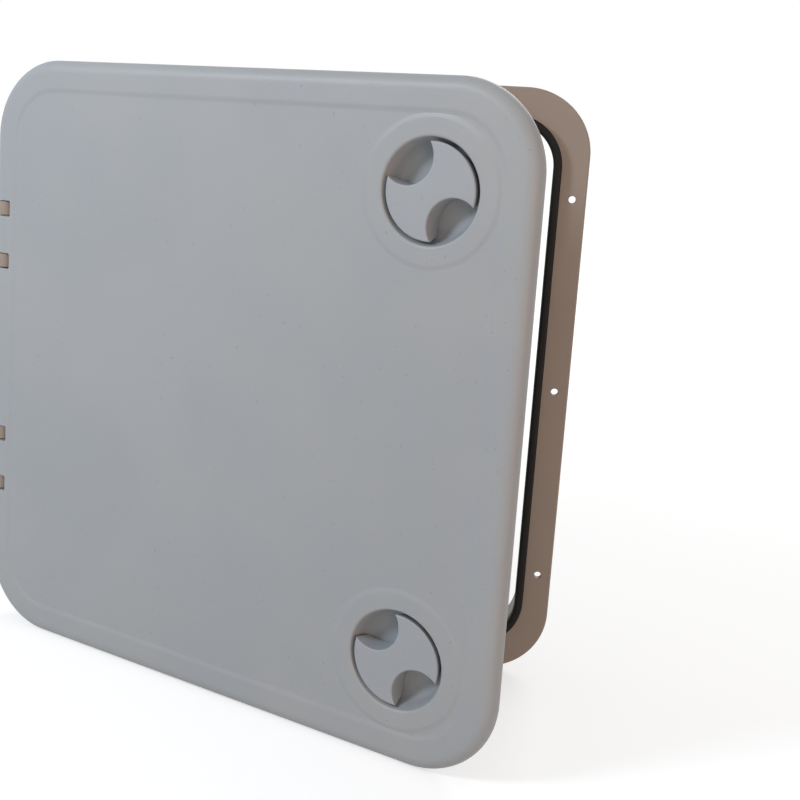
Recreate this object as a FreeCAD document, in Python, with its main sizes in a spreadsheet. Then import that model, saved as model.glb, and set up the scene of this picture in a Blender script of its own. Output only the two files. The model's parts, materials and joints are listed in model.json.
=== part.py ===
"""Moulded plastic access hatch, 375 mm square: a screwed frame, a hinged lid and two quarter-turn latches.

Every piece is drawn with the hatch lying on its back: X to the latch side, Y up the hatch, Z out of its
front, and zero at the flange's back. It is then stood up so that the front looks along -Y, and the lid
with its latches is swung open about the hinge pins.
"""
import FreeCAD, Part
import math
import os
import re
import Sketcher

App = FreeCAD

# Driving sizes, in millimetres and degrees
SIZES = {
    # Outline of the frame and of the lid that covers it
    "hatch_size": 375.0,
    "frame_corner": 40.5,
    "lid_corner": 49.0,
    # Frame moulding
    "flange_thickness": 4.0,
    "flange_width": 20.3,
    "flange_edge_round": 1.2,
    "wall_thickness": 2.4,
    "opening_corner": 28.0,
    "skirt_depth": 22.0,
    "upstand_height": 4.0,
    # Screw holes of the flange
    "screw_radius": 2.2,
    "screw_inset": 8.5,
    "screw_spread": 121.0,
    # Gasket pushed over the upstand
    "gasket_leg": 1.4,
    "gasket_crown": 2.0,
    "gasket_round": 1.8,
    "seal_clearance": 0.3,
    # Lid moulding
    "lid_gap": 1.2,
    "lid_thickness": 12.5,
    "lid_front_round": 7.0,
    "lid_back_round": 5.0,
    "lid_skin": 4.3,
    "rim_width": 14.2,
    "rim_wall": 5.5,
    "channel_width": 6.0,
    "channel_depth": 7.0,
    "land_margin": 1.5,
    "border_width": 16.5,
    "panel_corner": 34.0,
    "panel_sink": 0.8,
    "rib_thickness": 2.5,
    "rib_depth": 5.0,
    "rib_count": 5.0,
    "rib_pitch": 58.0,
    # Latch seats in the lid
    "latch_inset": 59.5,
    "pad_radius": 39.5,
    "cup_radius": 28.0,
    "cup_taper": 3.0,
    "cup_depth": 15.0,
    "cup_wall": 3.0,
    "cup_rim": 1.2,
    "cup_floor_round": 8.0,
    "sleeve_radius": 12.0,
    # Latch knob
    "knob_gap": 1.5,
    "knob_sink": 0.3,
    "knob_floor_gap": 0.4,
    "knob_edge_round": 0.6,
    "stem_radius": 7.5,
    "running_fit": 0.05,
    "scoop_radius": 15.2,
    "scoop_offset": 22.8,
    "scoop_direction": -50.0,
    "shank_size": 9.0,
    "shank_recess": 0.5,
    "o_ring_section": 0.75,
    "groove_depth": 1.85,
    "groove_width": 2.25,
    "groove_below_cup": 6.0,
    # Cam and its fastening
    "cam_clearance": 0.4,
    "cam_overhang": 2.0,
    "cam_hub_radius": 10.0,
    "cam_tip_radius": 5.5,
    "cam_thickness": 6.0,
    "cam_hub_height": 12.4,
    "cam_lead": 1.5,
    "cam_fit": 0.1,
    "web_thickness": 2.5,
    "web_margin": 18.2,
    "web_drop": 1.0,
    "thrust_thickness": 1.0,
    "washer_radius": 8.0,
    "washer_thickness": 1.5,
    "cam_screw_radius": 2.5,
    "cam_screw_length": 16.0,
    "cam_head_radius": 4.8,
    "cam_head_height": 3.2,
    "cam_head_taper": 1.2,
    "cam_screw_point": 0.6,
    "cross_reach": 2.4,
    "cross_width": 1.0,
    "cross_depth": 1.9,
    "thread_fit": 0.03,
    # Hinges
    "hinge_offset": 75.0,
    "pin_radius": 2.0,
    "pin_chamfer": 0.5,
    "pin_seat_fit": 0.01,
    "ear_radius": 5.75,
    "ear_width": 9.0,
    "knuckle_length": 24.0,
    "knuckle_gap": 0.6,
    "notch_reach": 8.0,
    "snap_slot": 3.4,
    # Swing of the lid at rest
    "open_angle": 24.0,
}

# Heights that follow from the sizes
UPSTAND_TOP = "(flange_thickness + upstand_height)"
GASKET_TOP = f"({UPSTAND_TOP} + gasket_crown)"
LID_BACK = "(flange_thickness + lid_gap)"
LID_FRONT = f"({LID_BACK} + lid_thickness)"
LID_CEILING = f"({LID_FRONT} - lid_skin)"
HINGE_HEIGHT = f"({LID_BACK} + lid_thickness / 2)"
CUP_FLOOR = f"({LID_FRONT} - cup_depth)"
CUP_BACK = f"({CUP_FLOOR} - cup_wall)"
CAM_HOOK = "(-skirt_depth - cam_clearance)"
CAM_BACK = f"({CAM_HOOK} - cam_thickness)"
CAM_FRONT = f"({CAM_BACK} + cam_hub_height)"
SLEEVE_END = f"({CAM_FRONT} + thrust_thickness)"
KNOB_TOP = f"({LID_FRONT} - knob_sink)"
KNOB_BASE = f"({CUP_FLOOR} + knob_floor_gap)"
GROOVE_TOP = f"({CUP_FLOOR} - groove_below_cup)"
SCREW_SEAT = f"({CAM_BACK} - washer_thickness)"

# Places in the plan that follow from the sizes
HALF = "(hatch_size / 2)"
OPENING = f"({HALF} - flange_width)"
WALL_OUTER = f"({OPENING} + wall_thickness)"
GASKET_OUTER = f"({WALL_OUTER} + gasket_leg)"
GASKET_INNER = f"({OPENING} - gasket_leg)"
LAND_OUTER = f"({GASKET_OUTER} + land_margin)"
LAND_INNER = f"({GASKET_INNER} - land_margin)"
SCREW_LINE = f"({HALF} - screw_inset)"
LATCH_PLACE = f"({HALF} - latch_inset)"
HINGE_X = f"(lid_thickness / 2 - {HALF})"
EAR_PITCH = "(knuckle_length / 2 + knuckle_gap + ear_width / 2)"
CAM_REACH = "(latch_inset - flange_width + wall_thickness + cam_overhang)"
WEB_REACH = "(latch_inset - flange_width - web_margin)"

# How far a cut runs past the face that it opens, or a joined block into its neighbour
BEYOND = 1.0

doc = App.newDocument("access_hatch")
sheet = doc.addObject("Spreadsheet::Sheet", "Sizes")
for row, (alias, amount) in enumerate(SIZES.items(), 1):
    sheet.set(f"A{row}", alias)
    sheet.set(f"B{row}", str(amount))
    sheet.setAlias(f"B{row}", alias)
doc.recompute()


def on_sheet(formula):
    """The formula with each size's name pointing at its cell."""
    return re.sub(r"[a-z][a-z_]+", lambda word: "Sizes." + word[0] if word[0] in SIZES else word[0], formula)


def value(formula):
    """The number that a formula on the sheet gives now."""
    return float(sheet.evalExpression(on_sheet(formula)))


def bind(thing, name, formula):
    """Tie a property to the sheet."""
    thing.setExpression(name, on_sheet(formula))


class Outline:
    """Closed outlines in one sketch, with every size held by a formula on the sheet."""

    def __init__(self, sketch):
        self.sketch = sketch

    def add(self, curve):
        return self.sketch.addGeometry(curve, False)

    def hold(self, kind, *where):
        return self.sketch.addConstraint(Sketcher.Constraint(kind, *where))

    def size(self, kind, where, formula):
        index = self.hold(kind, *where, value(formula))
        bind(self.sketch, f"Constraints[{index}]", formula)

    def place(self, curve, end, formula, kind, axis):
        """Hold one coordinate of a point: kind is DistanceX or DistanceY, axis the line where it is 0."""
        amount = value(formula)
        if abs(amount) < 1e-9:
            self.hold("PointOnObject", curve, end, axis)
        elif amount > 0:
            self.size(kind, (-1, 1, curve, end), formula)
        else:
            self.size(kind, (curve, end, -1, 1), f"-({formula})")

    def point(self, curve, end, across, up):
        self.place(curve, end, across, "DistanceX", -2)
        self.place(curve, end, up, "DistanceY", -1)

    def circle(self, across, up, radius):
        centre = App.Vector(value(across), value(up), 0)
        ring = self.add(Part.Circle(centre, App.Vector(0, 0, 1), value(radius)))
        self.point(ring, 3, across, up)
        self.size("Radius", (ring,), radius)

    def polygon(self, corners):
        places = [App.Vector(value(across), value(up), 0) for across, up in corners]
        sides = [self.add(Part.LineSegment(a, b)) for a, b in zip(places, places[1:] + places[:1])]
        for side, following in zip(sides, sides[1:] + sides[:1]):
            self.hold("Coincident", side, 2, following, 1)
        for side, (across, up) in zip(sides, corners):
            self.point(side, 1, across, up)

    def rectangle(self, left, right, low, high):
        self.polygon([(left, low), (right, low), (right, high), (left, high)])

    def rounded_square(self, half, radius):
        """A square about the sketch's origin, its sides tangent to four equal corner arcs."""
        reach, turn = value(half), value(radius)
        inner = reach - turn
        ways = [(1, 0), (0, 1), (-1, 0), (0, -1)]
        sides = []
        for x, y in ways:
            middle = App.Vector(x, y, 0) * reach
            along = App.Vector(-y, x, 0) * inner
            sides.append(self.add(Part.LineSegment(middle - along, middle + along)))
        arcs = []
        for quarter, (x, y) in enumerate(ways):
            centre = App.Vector(x - y, x + y, 0) * inner
            start = quarter * math.pi / 2
            round_curve = Part.Circle(centre, App.Vector(0, 0, 1), turn)
            arcs.append(self.add(Part.ArcOfCircle(round_curve, start, start + math.pi / 2)))
        for quarter in range(4):
            self.hold("Tangent", sides[quarter], 2, arcs[quarter], 1)
            self.hold("Tangent", arcs[quarter], 2, sides[(quarter + 1) % 4], 1)
            if quarter:
                self.hold("Equal", arcs[0], arcs[quarter])
            self.hold("Horizontal" if quarter % 2 else "Vertical", sides[quarter])
        self.size("Radius", (arcs[0],), radius)
        self.place(sides[0], 1, half, "DistanceX", -2)
        self.place(sides[1], 1, half, "DistanceY", -1)
        self.place(sides[2], 1, f"-{half}", "DistanceX", -2)
        self.place(sides[3], 1, f"-{half}", "DistanceY", -1)

    def arch(self, across, up, radius, foot):
        """Two upright sides on a level foot, joined over the top by a half round."""
        x, y, turn, low = value(across), value(up), value(radius), value(foot)
        crown = Part.Circle(App.Vector(x, y, 0), App.Vector(0, 0, 1), turn)
        top = self.add(Part.ArcOfCircle(crown, 0, math.pi))
        left = self.add(Part.LineSegment(App.Vector(x - turn, y, 0), App.Vector(x - turn, low, 0)))
        base = self.add(Part.LineSegment(App.Vector(x - turn, low, 0), App.Vector(x + turn, low, 0)))
        right = self.add(Part.LineSegment(App.Vector(x + turn, low, 0), App.Vector(x + turn, y, 0)))
        self.hold("Tangent", top, 2, left, 1)
        self.hold("Coincident", left, 2, base, 1)
        self.hold("Coincident", base, 2, right, 1)
        self.hold("Tangent", right, 2, top, 1)
        self.hold("Horizontal", base)
        self.hold("Vertical", left)
        self.hold("Vertical", right)
        self.point(top, 3, across, up)
        self.size("Radius", (top,), radius)
        self.place(base, 1, foot, "DistanceY", -1)

    def belt(self, large, small, distance):
        """The hull of a large circle at the origin and a small one further along X."""
        r1, r2, gap = value(large), value(small), value(distance)
        lean = math.acos((r1 - r2) / gap)
        side = App.Vector(math.cos(lean), math.sin(lean), 0)
        mirrored = App.Vector(side.x, -side.y, 0)
        far = App.Vector(gap, 0, 0)
        up = App.Vector(0, 0, 1)
        hub = self.add(Part.ArcOfCircle(Part.Circle(App.Vector(), up, r1), lean, 2 * math.pi - lean))
        low = self.add(Part.LineSegment(mirrored * r1, far + mirrored * r2))
        tip = self.add(Part.ArcOfCircle(Part.Circle(far, up, r2), -lean, lean))
        high = self.add(Part.LineSegment(far + side * r2, side * r1))
        self.hold("Tangent", hub, 2, low, 1)
        self.hold("Tangent", low, 2, tip, 1)
        self.hold("Tangent", tip, 2, high, 1)
        self.hold("Tangent", high, 2, hub, 1)
        self.point(hub, 3, "0", "0")
        self.point(tip, 3, distance, "0")
        self.size("Radius", (hub,), large)
        self.size("Radius", (tip,), small)


def new_body(label):
    body = doc.addObject("PartDesign::Body", label)
    body.Label = label
    return body


def new_sketch(body, name, offset="0", role="XY_Plane"):
    """A sketch on one of the body's own planes, moved along that plane's normal."""
    sketch = body.newObject("Sketcher::SketchObject", name)
    sketch.AttachmentSupport = [(next(f for f in body.Origin.OriginFeatures if f.Role == role), "")]
    sketch.MapMode = "FlatFace"
    bind(sketch, "AttachmentOffset.Base.z", offset)
    return sketch


def changed(body, feature, grows):
    """Stop where a feature adds or removes nothing."""
    before = feature.BaseFeature.Shape.Volume if feature.BaseFeature else 0.0
    doc.recompute()
    gain = feature.Shape.Volume - before
    if gain * (1 if grows else -1) <= 0:
        raise RuntimeError(f"{body.Label}: {feature.Label} changes nothing")
    return feature


def pad(body, sketch, length, reversed_way=False, both_ways=False):
    feature = body.newObject("PartDesign::Pad", sketch.Label + "_pad")
    feature.Profile = sketch
    feature.Reversed = reversed_way
    feature.SideType = "Symmetric" if both_ways else "One side"
    bind(feature, "Length", length)
    return changed(body, feature, True)


def pocket(body, sketch, length, reversed_way=False, both_ways=False):
    feature = body.newObject("PartDesign::Pocket", sketch.Label + "_pocket")
    feature.Profile = sketch
    feature.Reversed = reversed_way
    feature.SideType = "Symmetric" if both_ways else "One side"
    bind(feature, "Length", length)
    return changed(body, feature, False)


def turned(body, kind, sketch, axis):
    feature = body.newObject("PartDesign::" + kind, sketch.Label + "_turned")
    feature.Profile = sketch
    feature.ReferenceAxis = (sketch, [axis])
    feature.Angle = 360.0
    return changed(body, feature, kind == "Revolution")


def edges_where(feature, test):
    return [f"Edge{index}" for index, edge in enumerate(feature.Shape.Edges, 1) if test(edge)]


def reach(edge):
    """The furthest that an edge goes from the middle of the hatch, along X or Y."""
    box = edge.BoundBox
    return max(abs(box.XMin), abs(box.XMax), abs(box.YMin), abs(box.YMax))


def level(edge, height):
    """Whether an edge lies wholly at one height."""
    box = edge.BoundBox
    return abs(box.ZMin - height) < 1e-4 and abs(box.ZMax - height) < 1e-4


def wide_rings(feature, height):
    """The edges at one height that go all round a latch outside its stem."""
    stem_wide = value("2 * stem_radius") + BEYOND
    return edges_where(feature, lambda edge: level(edge, height) and stem_wide < edge.BoundBox.XLength
                       and abs(edge.BoundBox.XLength - edge.BoundBox.YLength) < 1e-4)


def soften(body, kind, base, edges, formula):
    """Round or chamfer edges of the feature made last."""
    feature = body.newObject("PartDesign::" + kind, f"{base.Label}_{kind.lower()}")
    feature.Base = (base, edges)
    bind(feature, "Radius" if kind == "Fillet" else "Size", formula)
    doc.recompute()
    return feature


def signs():
    """The lower and the upper one of a pair, as the sign of its place along Y."""
    return (("lower", -1), ("upper", 1))


def ear_places():
    return [f"({side} * hinge_offset + {end} * {EAR_PITCH})" for _, side in signs() for end in (-1, 1)]


def make_frame():
    """Flange, skirt and upstand in one moulding, with hinge ears. The cams hook behind the skirt's end."""
    body = new_body("frame")
    flange = new_sketch(body, "flange")
    outline = Outline(flange)
    outline.rounded_square(HALF, "frame_corner")
    outline.rounded_square(OPENING, "opening_corner")
    plate = pad(body, flange, "flange_thickness")
    top = value("flange_thickness")
    inside = value(OPENING)
    outer = edges_where(plate, lambda edge: level(edge, top) and reach(edge) > inside + BEYOND)
    soften(body, "Fillet", plate, outer, "flange_edge_round")

    wall = new_sketch(body, "wall", "-skirt_depth")
    outline = Outline(wall)
    outline.rounded_square(WALL_OUTER, "opening_corner + wall_thickness")
    outline.rounded_square(OPENING, "opening_corner")
    pad(body, wall, f"skirt_depth + {UPSTAND_TOP}")

    for index, centre in enumerate(ear_places()):
        ear = new_sketch(body, f"ear_{index}", f"-{centre}", "XZ_Plane")
        Outline(ear).arch(HINGE_X, HINGE_HEIGHT, "ear_radius", "0")
        pad(body, ear, "ear_width", both_ways=True)
    for name, side in signs():
        bore = new_sketch(body, f"pin_bore_{name}", f"{-side} * hinge_offset", "XZ_Plane")
        Outline(bore).circle(HINGE_X, HINGE_HEIGHT, "pin_radius + pin_seat_fit")
        pocket(body, bore, f"2 * {EAR_PITCH} + ear_width + {2 * BEYOND}", both_ways=True)

    holes = new_sketch(body, "screw_holes", f"flange_thickness + {BEYOND}")
    outline = Outline(holes)
    for _, side in signs():
        for step in (-1, 0, 1):
            outline.circle(f"{side} * {SCREW_LINE}", f"{step} * screw_spread", "screw_radius")
            outline.circle(f"{step} * screw_spread", f"{side} * {SCREW_LINE}", "screw_radius")
    pocket(body, holes, f"flange_thickness + {2 * BEYOND}")
    return body


def make_gasket():
    """Rubber profile with two legs over the upstand and a round crown that the lid presses."""
    body = new_body("frame_gasket")
    crown = new_sketch(body, "crown", "flange_thickness")
    outline = Outline(crown)
    outline.rounded_square(GASKET_OUTER, "opening_corner + wall_thickness + gasket_leg")
    outline.rounded_square(GASKET_INNER, "opening_corner - gasket_leg")
    block = pad(body, crown, "upstand_height + gasket_crown")
    top = value(GASKET_TOP)
    soften(body, "Fillet", block, edges_where(block, lambda e: level(e, top)), "gasket_round")
    slot = new_sketch(body, "slot", UPSTAND_TOP)
    outline = Outline(slot)
    outline.rounded_square(WALL_OUTER, "opening_corner + wall_thickness")
    outline.rounded_square(OPENING, "opening_corner")
    pocket(body, slot, "upstand_height")
    return body


def make_lid():
    """Round-edged lid with a sunk panel, latch cups, ribs, a land for the gasket and hinge knuckles."""
    body = new_body("lid")
    plate = new_sketch(body, "plate", LID_BACK)
    Outline(plate).rounded_square(HALF, "lid_corner")
    shell = pad(body, plate, "lid_thickness")
    front, back = value(LID_FRONT), value(LID_BACK)
    shell = soften(body, "Fillet", shell, edges_where(shell, lambda e: level(e, front)), "lid_front_round")
    soften(body, "Fillet", shell, edges_where(shell, lambda e: level(e, back)), "lid_back_round")

    cavity = new_sketch(body, "cavity", LID_BACK)
    Outline(cavity).rounded_square(f"({HALF} - rim_width)", "lid_corner - rim_width")
    pocket(body, cavity, "lid_thickness - lid_skin", reversed_way=True)
    channel = new_sketch(body, "channel", LID_BACK)
    outline = Outline(channel)
    outline.rounded_square(f"({HALF} - rim_wall)", "lid_corner - rim_wall")
    outline.rounded_square(f"({HALF} - rim_wall - channel_width)", "lid_corner - rim_wall - channel_width")
    pocket(body, channel, "channel_depth", reversed_way=True)

    # The gasket closes on this land
    land = new_sketch(body, "land", f"{GASKET_TOP} + seal_clearance")
    outline = Outline(land)
    outline.rounded_square(LAND_OUTER, "opening_corner + wall_thickness + gasket_leg + land_margin")
    outline.rounded_square(LAND_INNER, "opening_corner - gasket_leg - land_margin")
    pad(body, land, f"{LID_CEILING} - {GASKET_TOP} - seal_clearance")

    ribs = new_sketch(body, "ribs", LID_CEILING)
    outline = Outline(ribs)
    count = round(value("rib_count"))
    ends = f"({LAND_INNER} + land_margin)"
    steps = [f"{index - (count - 1) / 2} * rib_pitch" for index in range(count)]
    for start in steps:
        outline.rectangle(f"{start} - rib_thickness / 2", f"{start} + rib_thickness / 2", f"-{ends}", ends)
    pad(body, ribs, "rib_depth", reversed_way=True)
    cross_ribs = new_sketch(body, "cross_ribs", LID_CEILING)
    outline = Outline(cross_ribs)
    for start in steps:
        outline.rectangle(f"-{ends}", ends, f"{start} - rib_thickness / 2", f"{start} + rib_thickness / 2")
    pad(body, cross_ribs, "rib_depth", reversed_way=True)

    panel = new_sketch(body, "panel", LID_FRONT)
    Outline(panel).rounded_square(f"({HALF} - border_width)", "panel_corner")
    pocket(body, panel, "panel_sink")
    pads = new_sketch(body, "latch_pads", f"{LID_FRONT} - panel_sink")
    outline = Outline(pads)
    for _, side in signs():
        outline.circle(LATCH_PLACE, f"{side} * {LATCH_PLACE}", "pad_radius")
    pad(body, pads, "panel_sink")

    cups = new_sketch(body, "cup_walls", CUP_BACK)
    sleeves = new_sketch(body, "sleeves", SLEEVE_END)
    for _, side in signs():
        centre = (LATCH_PLACE, f"{side} * {LATCH_PLACE}")
        Outline(cups).circle(*centre, "cup_radius + cup_wall")
        Outline(sleeves).circle(*centre, "sleeve_radius")
    pad(body, cups, f"{LID_CEILING} - {CUP_BACK}")
    pad(body, sleeves, f"{CUP_BACK} - {SLEEVE_END}")
    for name, side in signs():
        cup = new_sketch(body, f"cup_{name}", f"{-side} * {LATCH_PLACE}", "XZ_Plane")
        bore = f"{LATCH_PLACE} + stem_radius + running_fit"
        Outline(cup).polygon([
            (LATCH_PLACE, LID_FRONT),
            (f"{LATCH_PLACE} + cup_radius + cup_rim", LID_FRONT),
            (f"{LATCH_PLACE} + cup_radius", f"{LID_FRONT} - cup_rim"),
            (f"{LATCH_PLACE} + cup_radius - cup_taper", CUP_FLOOR),
            (bore, CUP_FLOOR),
            (bore, f"{SLEEVE_END} - {BEYOND}"),
            (LATCH_PLACE, f"{SLEEVE_END} - {BEYOND}"),
        ])
        low = App.Vector(value(LATCH_PLACE), value(SLEEVE_END), 0)
        high = App.Vector(value(LATCH_PLACE), value(LID_FRONT), 0)
        cup.addGeometry(Part.LineSegment(low, high), True)
        centre_line = cup.GeometryCount - 1
        held = Outline(cup)
        held.point(centre_line, 1, LATCH_PLACE, SLEEVE_END)
        held.point(centre_line, 2, LATCH_PLACE, LID_FRONT)
        hollow = turned(body, "Groove", cup, "Axis0")
        soften(body, "Fillet", hollow, wide_rings(hollow, value(CUP_FLOOR)), "cup_floor_round")

    # Solid knuckles at the hinges, with a snap-in bore for the pin and a notch round each ear of the frame
    blocks = new_sketch(body, "knuckle_blocks", LID_BACK)
    notches = new_sketch(body, "ear_notches", f"{LID_FRONT} + {BEYOND}")
    half_block = f"({EAR_PITCH} + ear_width + knuckle_gap)"
    half_notch = "(ear_width / 2 + knuckle_gap)"
    knuckle_room = "knuckle_length + 2 * knuckle_gap"
    for _, side in signs():
        Outline(blocks).rectangle(f"-{HALF} + rim_wall - {BEYOND / 2}",
                                  f"-{HALF} + rim_wall + channel_width + {BEYOND / 2}",
                                  f"{side} * hinge_offset - {half_block}",
                                  f"{side} * hinge_offset + {half_block}")
    for centre in ear_places():
        Outline(notches).rectangle(f"-{HALF} - {BEYOND}", f"{HINGE_X} + notch_reach",
                                   f"{centre} - {half_notch}", f"{centre} + {half_notch}")
    pad(body, blocks, "channel_depth")
    pocket(body, notches, f"lid_thickness + {2 * BEYOND}")
    for name, side in signs():
        bore = new_sketch(body, f"knuckle_bore_{name}", f"{-side} * hinge_offset", "XZ_Plane")
        Outline(bore).circle(HINGE_X, HINGE_HEIGHT, "pin_radius + running_fit")
        pocket(body, bore, knuckle_room, both_ways=True)
        slot = new_sketch(body, f"snap_slot_{name}", f"{-side} * hinge_offset", "XZ_Plane")
        Outline(slot).rectangle(f"{HINGE_X} - snap_slot / 2", f"{HINGE_X} + snap_slot / 2",
                                f"{LID_BACK} - {BEYOND}", HINGE_HEIGHT)
        pocket(body, slot, knuckle_room, both_ways=True)
    return body


def make_pin(label):
    """Stainless hinge pin with chamfered ends, held in two ears of the frame."""
    body = new_body(label)
    profile = new_sketch(body, "profile", role="XZ_Plane")
    half = f"({EAR_PITCH} + ear_width / 2)"
    Outline(profile).polygon([
        ("0", f"-{half}"),
        ("pin_radius - pin_chamfer", f"-{half}"),
        ("pin_radius", f"-{half} + pin_chamfer"),
        ("pin_radius", f"{half} - pin_chamfer"),
        ("pin_radius - pin_chamfer", half),
        ("0", half),
    ])
    turned(body, "Revolution", profile, "V_Axis")
    return body


def make_knob(label):
    """Turned disc on a grooved stem with a square shank, cut by two finger scoops."""
    body = new_body(label)
    profile = new_sketch(body, "profile", role="XZ_Plane")
    groove_low = f"({GROOVE_TOP} - groove_width)"
    groove_floor = "(stem_radius - groove_depth)"
    Outline(profile).polygon([
        ("0", CAM_FRONT),
        ("stem_radius", CAM_FRONT),
        ("stem_radius", groove_low),
        (groove_floor, groove_low),
        (groove_floor, GROOVE_TOP),
        ("stem_radius", GROOVE_TOP),
        ("stem_radius", KNOB_BASE),
        ("cup_radius - cup_taper - knob_gap", KNOB_BASE),
        ("cup_radius - knob_gap", KNOB_TOP),
        ("0", KNOB_TOP),
    ])
    disc = turned(body, "Revolution", profile, "V_Axis")
    soften(body, "Fillet", disc, wide_rings(disc, value(KNOB_BASE)), "cup_floor_round")

    scoop = new_sketch(body, "scoop", KNOB_TOP)
    Outline(scoop).circle("scoop_offset * cos(scoop_direction)", "scoop_offset * sin(scoop_direction)",
                          "scoop_radius")
    first = pocket(body, scoop, f"{KNOB_TOP} - {KNOB_BASE}")
    pair = body.newObject("PartDesign::PolarPattern", "scoop_pair")
    pair.Originals = [first]
    pair.Axis = (scoop, ["N_Axis"])
    pair.Angle = 360.0
    pair.Occurrences = 2
    body.Tip = pair
    doc.recompute()
    top = value(KNOB_TOP)
    soften(body, "Fillet", pair, edges_where(pair, lambda e: level(e, top)), "knob_edge_round")

    shank = new_sketch(body, "shank", CAM_FRONT)
    half = "shank_size / 2"
    Outline(shank).rectangle(f"-{half}", half, f"-{half}", half)
    pad(body, shank, "cam_hub_height - shank_recess", reversed_way=True)
    pilot = new_sketch(body, "pilot", f"{CAM_BACK} + shank_recess")
    Outline(pilot).circle("0", "0", "cam_screw_radius + thread_fit")
    pocket(body, pilot, "cam_screw_length", reversed_way=True)
    return body


def make_o_ring(label):
    """Rubber ring in the groove of the knob's stem."""
    ring = doc.addObject("Part::Torus", label)
    ring.Label = label
    bind(ring, "Radius1", "stem_radius - groove_depth + o_ring_section + running_fit")
    bind(ring, "Radius2", "o_ring_section")
    return ring


def ring_plate(label, inner, outer, thickness, height):
    """A flat washer that starts at a height and grows forwards."""
    body = new_body(label)
    plan = new_sketch(body, "plan", height)
    outline = Outline(plan)
    outline.circle("0", "0", outer)
    outline.circle("0", "0", inner)
    pad(body, plan, thickness)
    return body


def make_cam(label):
    """Hub on the square shank with an arm that hooks behind the frame's skirt."""
    body = new_body(label)
    arm = new_sketch(body, "arm", CAM_BACK)
    Outline(arm).belt("cam_hub_radius", "cam_tip_radius", f"{CAM_REACH} - cam_tip_radius")
    bar = pad(body, arm, "cam_thickness")
    hook = value(CAM_HOOK)
    hub_edge = value("cam_hub_radius")
    lead_edges = edges_where(bar, lambda e: level(e, hook) and e.BoundBox.XMax > hub_edge)
    soften(body, "Chamfer", bar, lead_edges, "cam_lead")
    hub = new_sketch(body, "hub", CAM_BACK)
    Outline(hub).circle("0", "0", "cam_hub_radius")
    pad(body, hub, "cam_hub_height")
    web = new_sketch(body, "web", "0", "XZ_Plane")
    Outline(web).polygon([
        ("shank_size", f"{CAM_HOOK} - {BEYOND}"),
        (WEB_REACH, f"{CAM_HOOK} - {BEYOND}"),
        ("shank_size", f"{CAM_FRONT} - web_drop"),
    ])
    pad(body, web, "web_thickness", both_ways=True)
    square = new_sketch(body, "square", f"{CAM_FRONT} + {BEYOND}")
    half = "(shank_size / 2 + cam_fit)"
    Outline(square).rectangle(f"-{half}", half, f"-{half}", half)
    pocket(body, square, f"cam_hub_height + {2 * BEYOND}")
    return body


def quarter_turns(corners):
    """The corners and their copies turned by one, two and three quarters, as formulas."""
    turns = [list(corners)]
    for _ in range(3):
        turns.append([(f"-({up})", across) for across, up in turns[-1]])
    return [corner for turn in turns for corner in turn]


def make_screw(label):
    """Stainless pan head screw with a cross recess."""
    body = new_body(label)
    tip = f"{SCREW_SEAT} + cam_screw_length"
    crown = f"{SCREW_SEAT} - cam_head_height"
    profile = new_sketch(body, "profile", role="XZ_Plane")
    Outline(profile).polygon([
        ("0", tip),
        ("cam_screw_radius - cam_screw_point", tip),
        ("cam_screw_radius", f"{tip} - cam_screw_point"),
        ("cam_screw_radius", SCREW_SEAT),
        ("cam_head_radius", SCREW_SEAT),
        ("cam_head_radius", f"{crown} + cam_head_taper"),
        ("cam_head_radius - cam_head_taper", crown),
        ("0", crown),
    ])
    turned(body, "Revolution", profile, "V_Axis")
    slots = "(cross_width / 2)"
    quarter = [("cross_reach", f"-{slots}"), ("cross_reach", slots), (slots, slots)]
    recess = new_sketch(body, "recess", crown)
    Outline(recess).polygon(quarter_turns(quarter))
    pocket(body, recess, "cross_depth", reversed_way=True)
    return body


# Standing the hatch up turns its front to -Y, and the lid swings about the hinge pins
UPRIGHT = App.Placement(App.Vector(), App.Rotation(App.Vector(1, 0, 0), 90))
HINGE_LINE = App.Vector(value(HINGE_X), -value(HINGE_HEIGHT), 0)
SWING = App.Placement(App.Vector(), App.Rotation(App.Vector(0, 0, 1), -value("open_angle")), HINGE_LINE)


def stand(piece, place=App.Placement(), on_lid=False):
    piece.Placement = (SWING if on_lid else App.Placement()) * UPRIGHT * place
    pieces.append(piece)


pieces = []
stand(make_frame())
stand(make_gasket())
stand(make_lid(), on_lid=True)
along_edge = App.Rotation(App.Vector(1, 0, 0), 90)
for name, side in signs():
    hinge = App.Vector(value(HINGE_X), side * value("hinge_offset"), value(HINGE_HEIGHT))
    stand(make_pin(f"hinge_pin_{name}"), App.Placement(hinge, along_edge))

    centre = App.Vector(value(LATCH_PLACE), side * value(LATCH_PLACE), 0)
    # Both knobs show the same face, and each cam rests pointing to the middle of the latch side
    as_knob = App.Placement(centre, App.Rotation())
    as_cam = App.Placement(centre, App.Rotation(App.Vector(0, 0, 1), -side * 90))
    knob = make_knob(f"knob_{name}")
    ring_height = value(f"{GROOVE_TOP} - groove_width / 2")
    ring_place = App.Placement(centre + App.Vector(0, 0, ring_height), App.Rotation())
    stand(knob, as_knob, on_lid=True)
    stand(make_o_ring(f"knob_o_ring_{name}"), ring_place, on_lid=True)
    stand(ring_plate(f"thrust_washer_{name}", "stem_radius + running_fit", "sleeve_radius",
                     "thrust_thickness", CAM_FRONT), as_cam, on_lid=True)
    stand(make_cam(f"cam_{name}"), as_cam, on_lid=True)
    stand(ring_plate(f"cam_washer_{name}", "cam_screw_radius + running_fit", "washer_radius",
                     "washer_thickness", SCREW_SEAT), as_cam, on_lid=True)
    stand(make_screw(f"cam_screw_{name}"), as_cam, on_lid=True)
doc.recompute()

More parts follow.
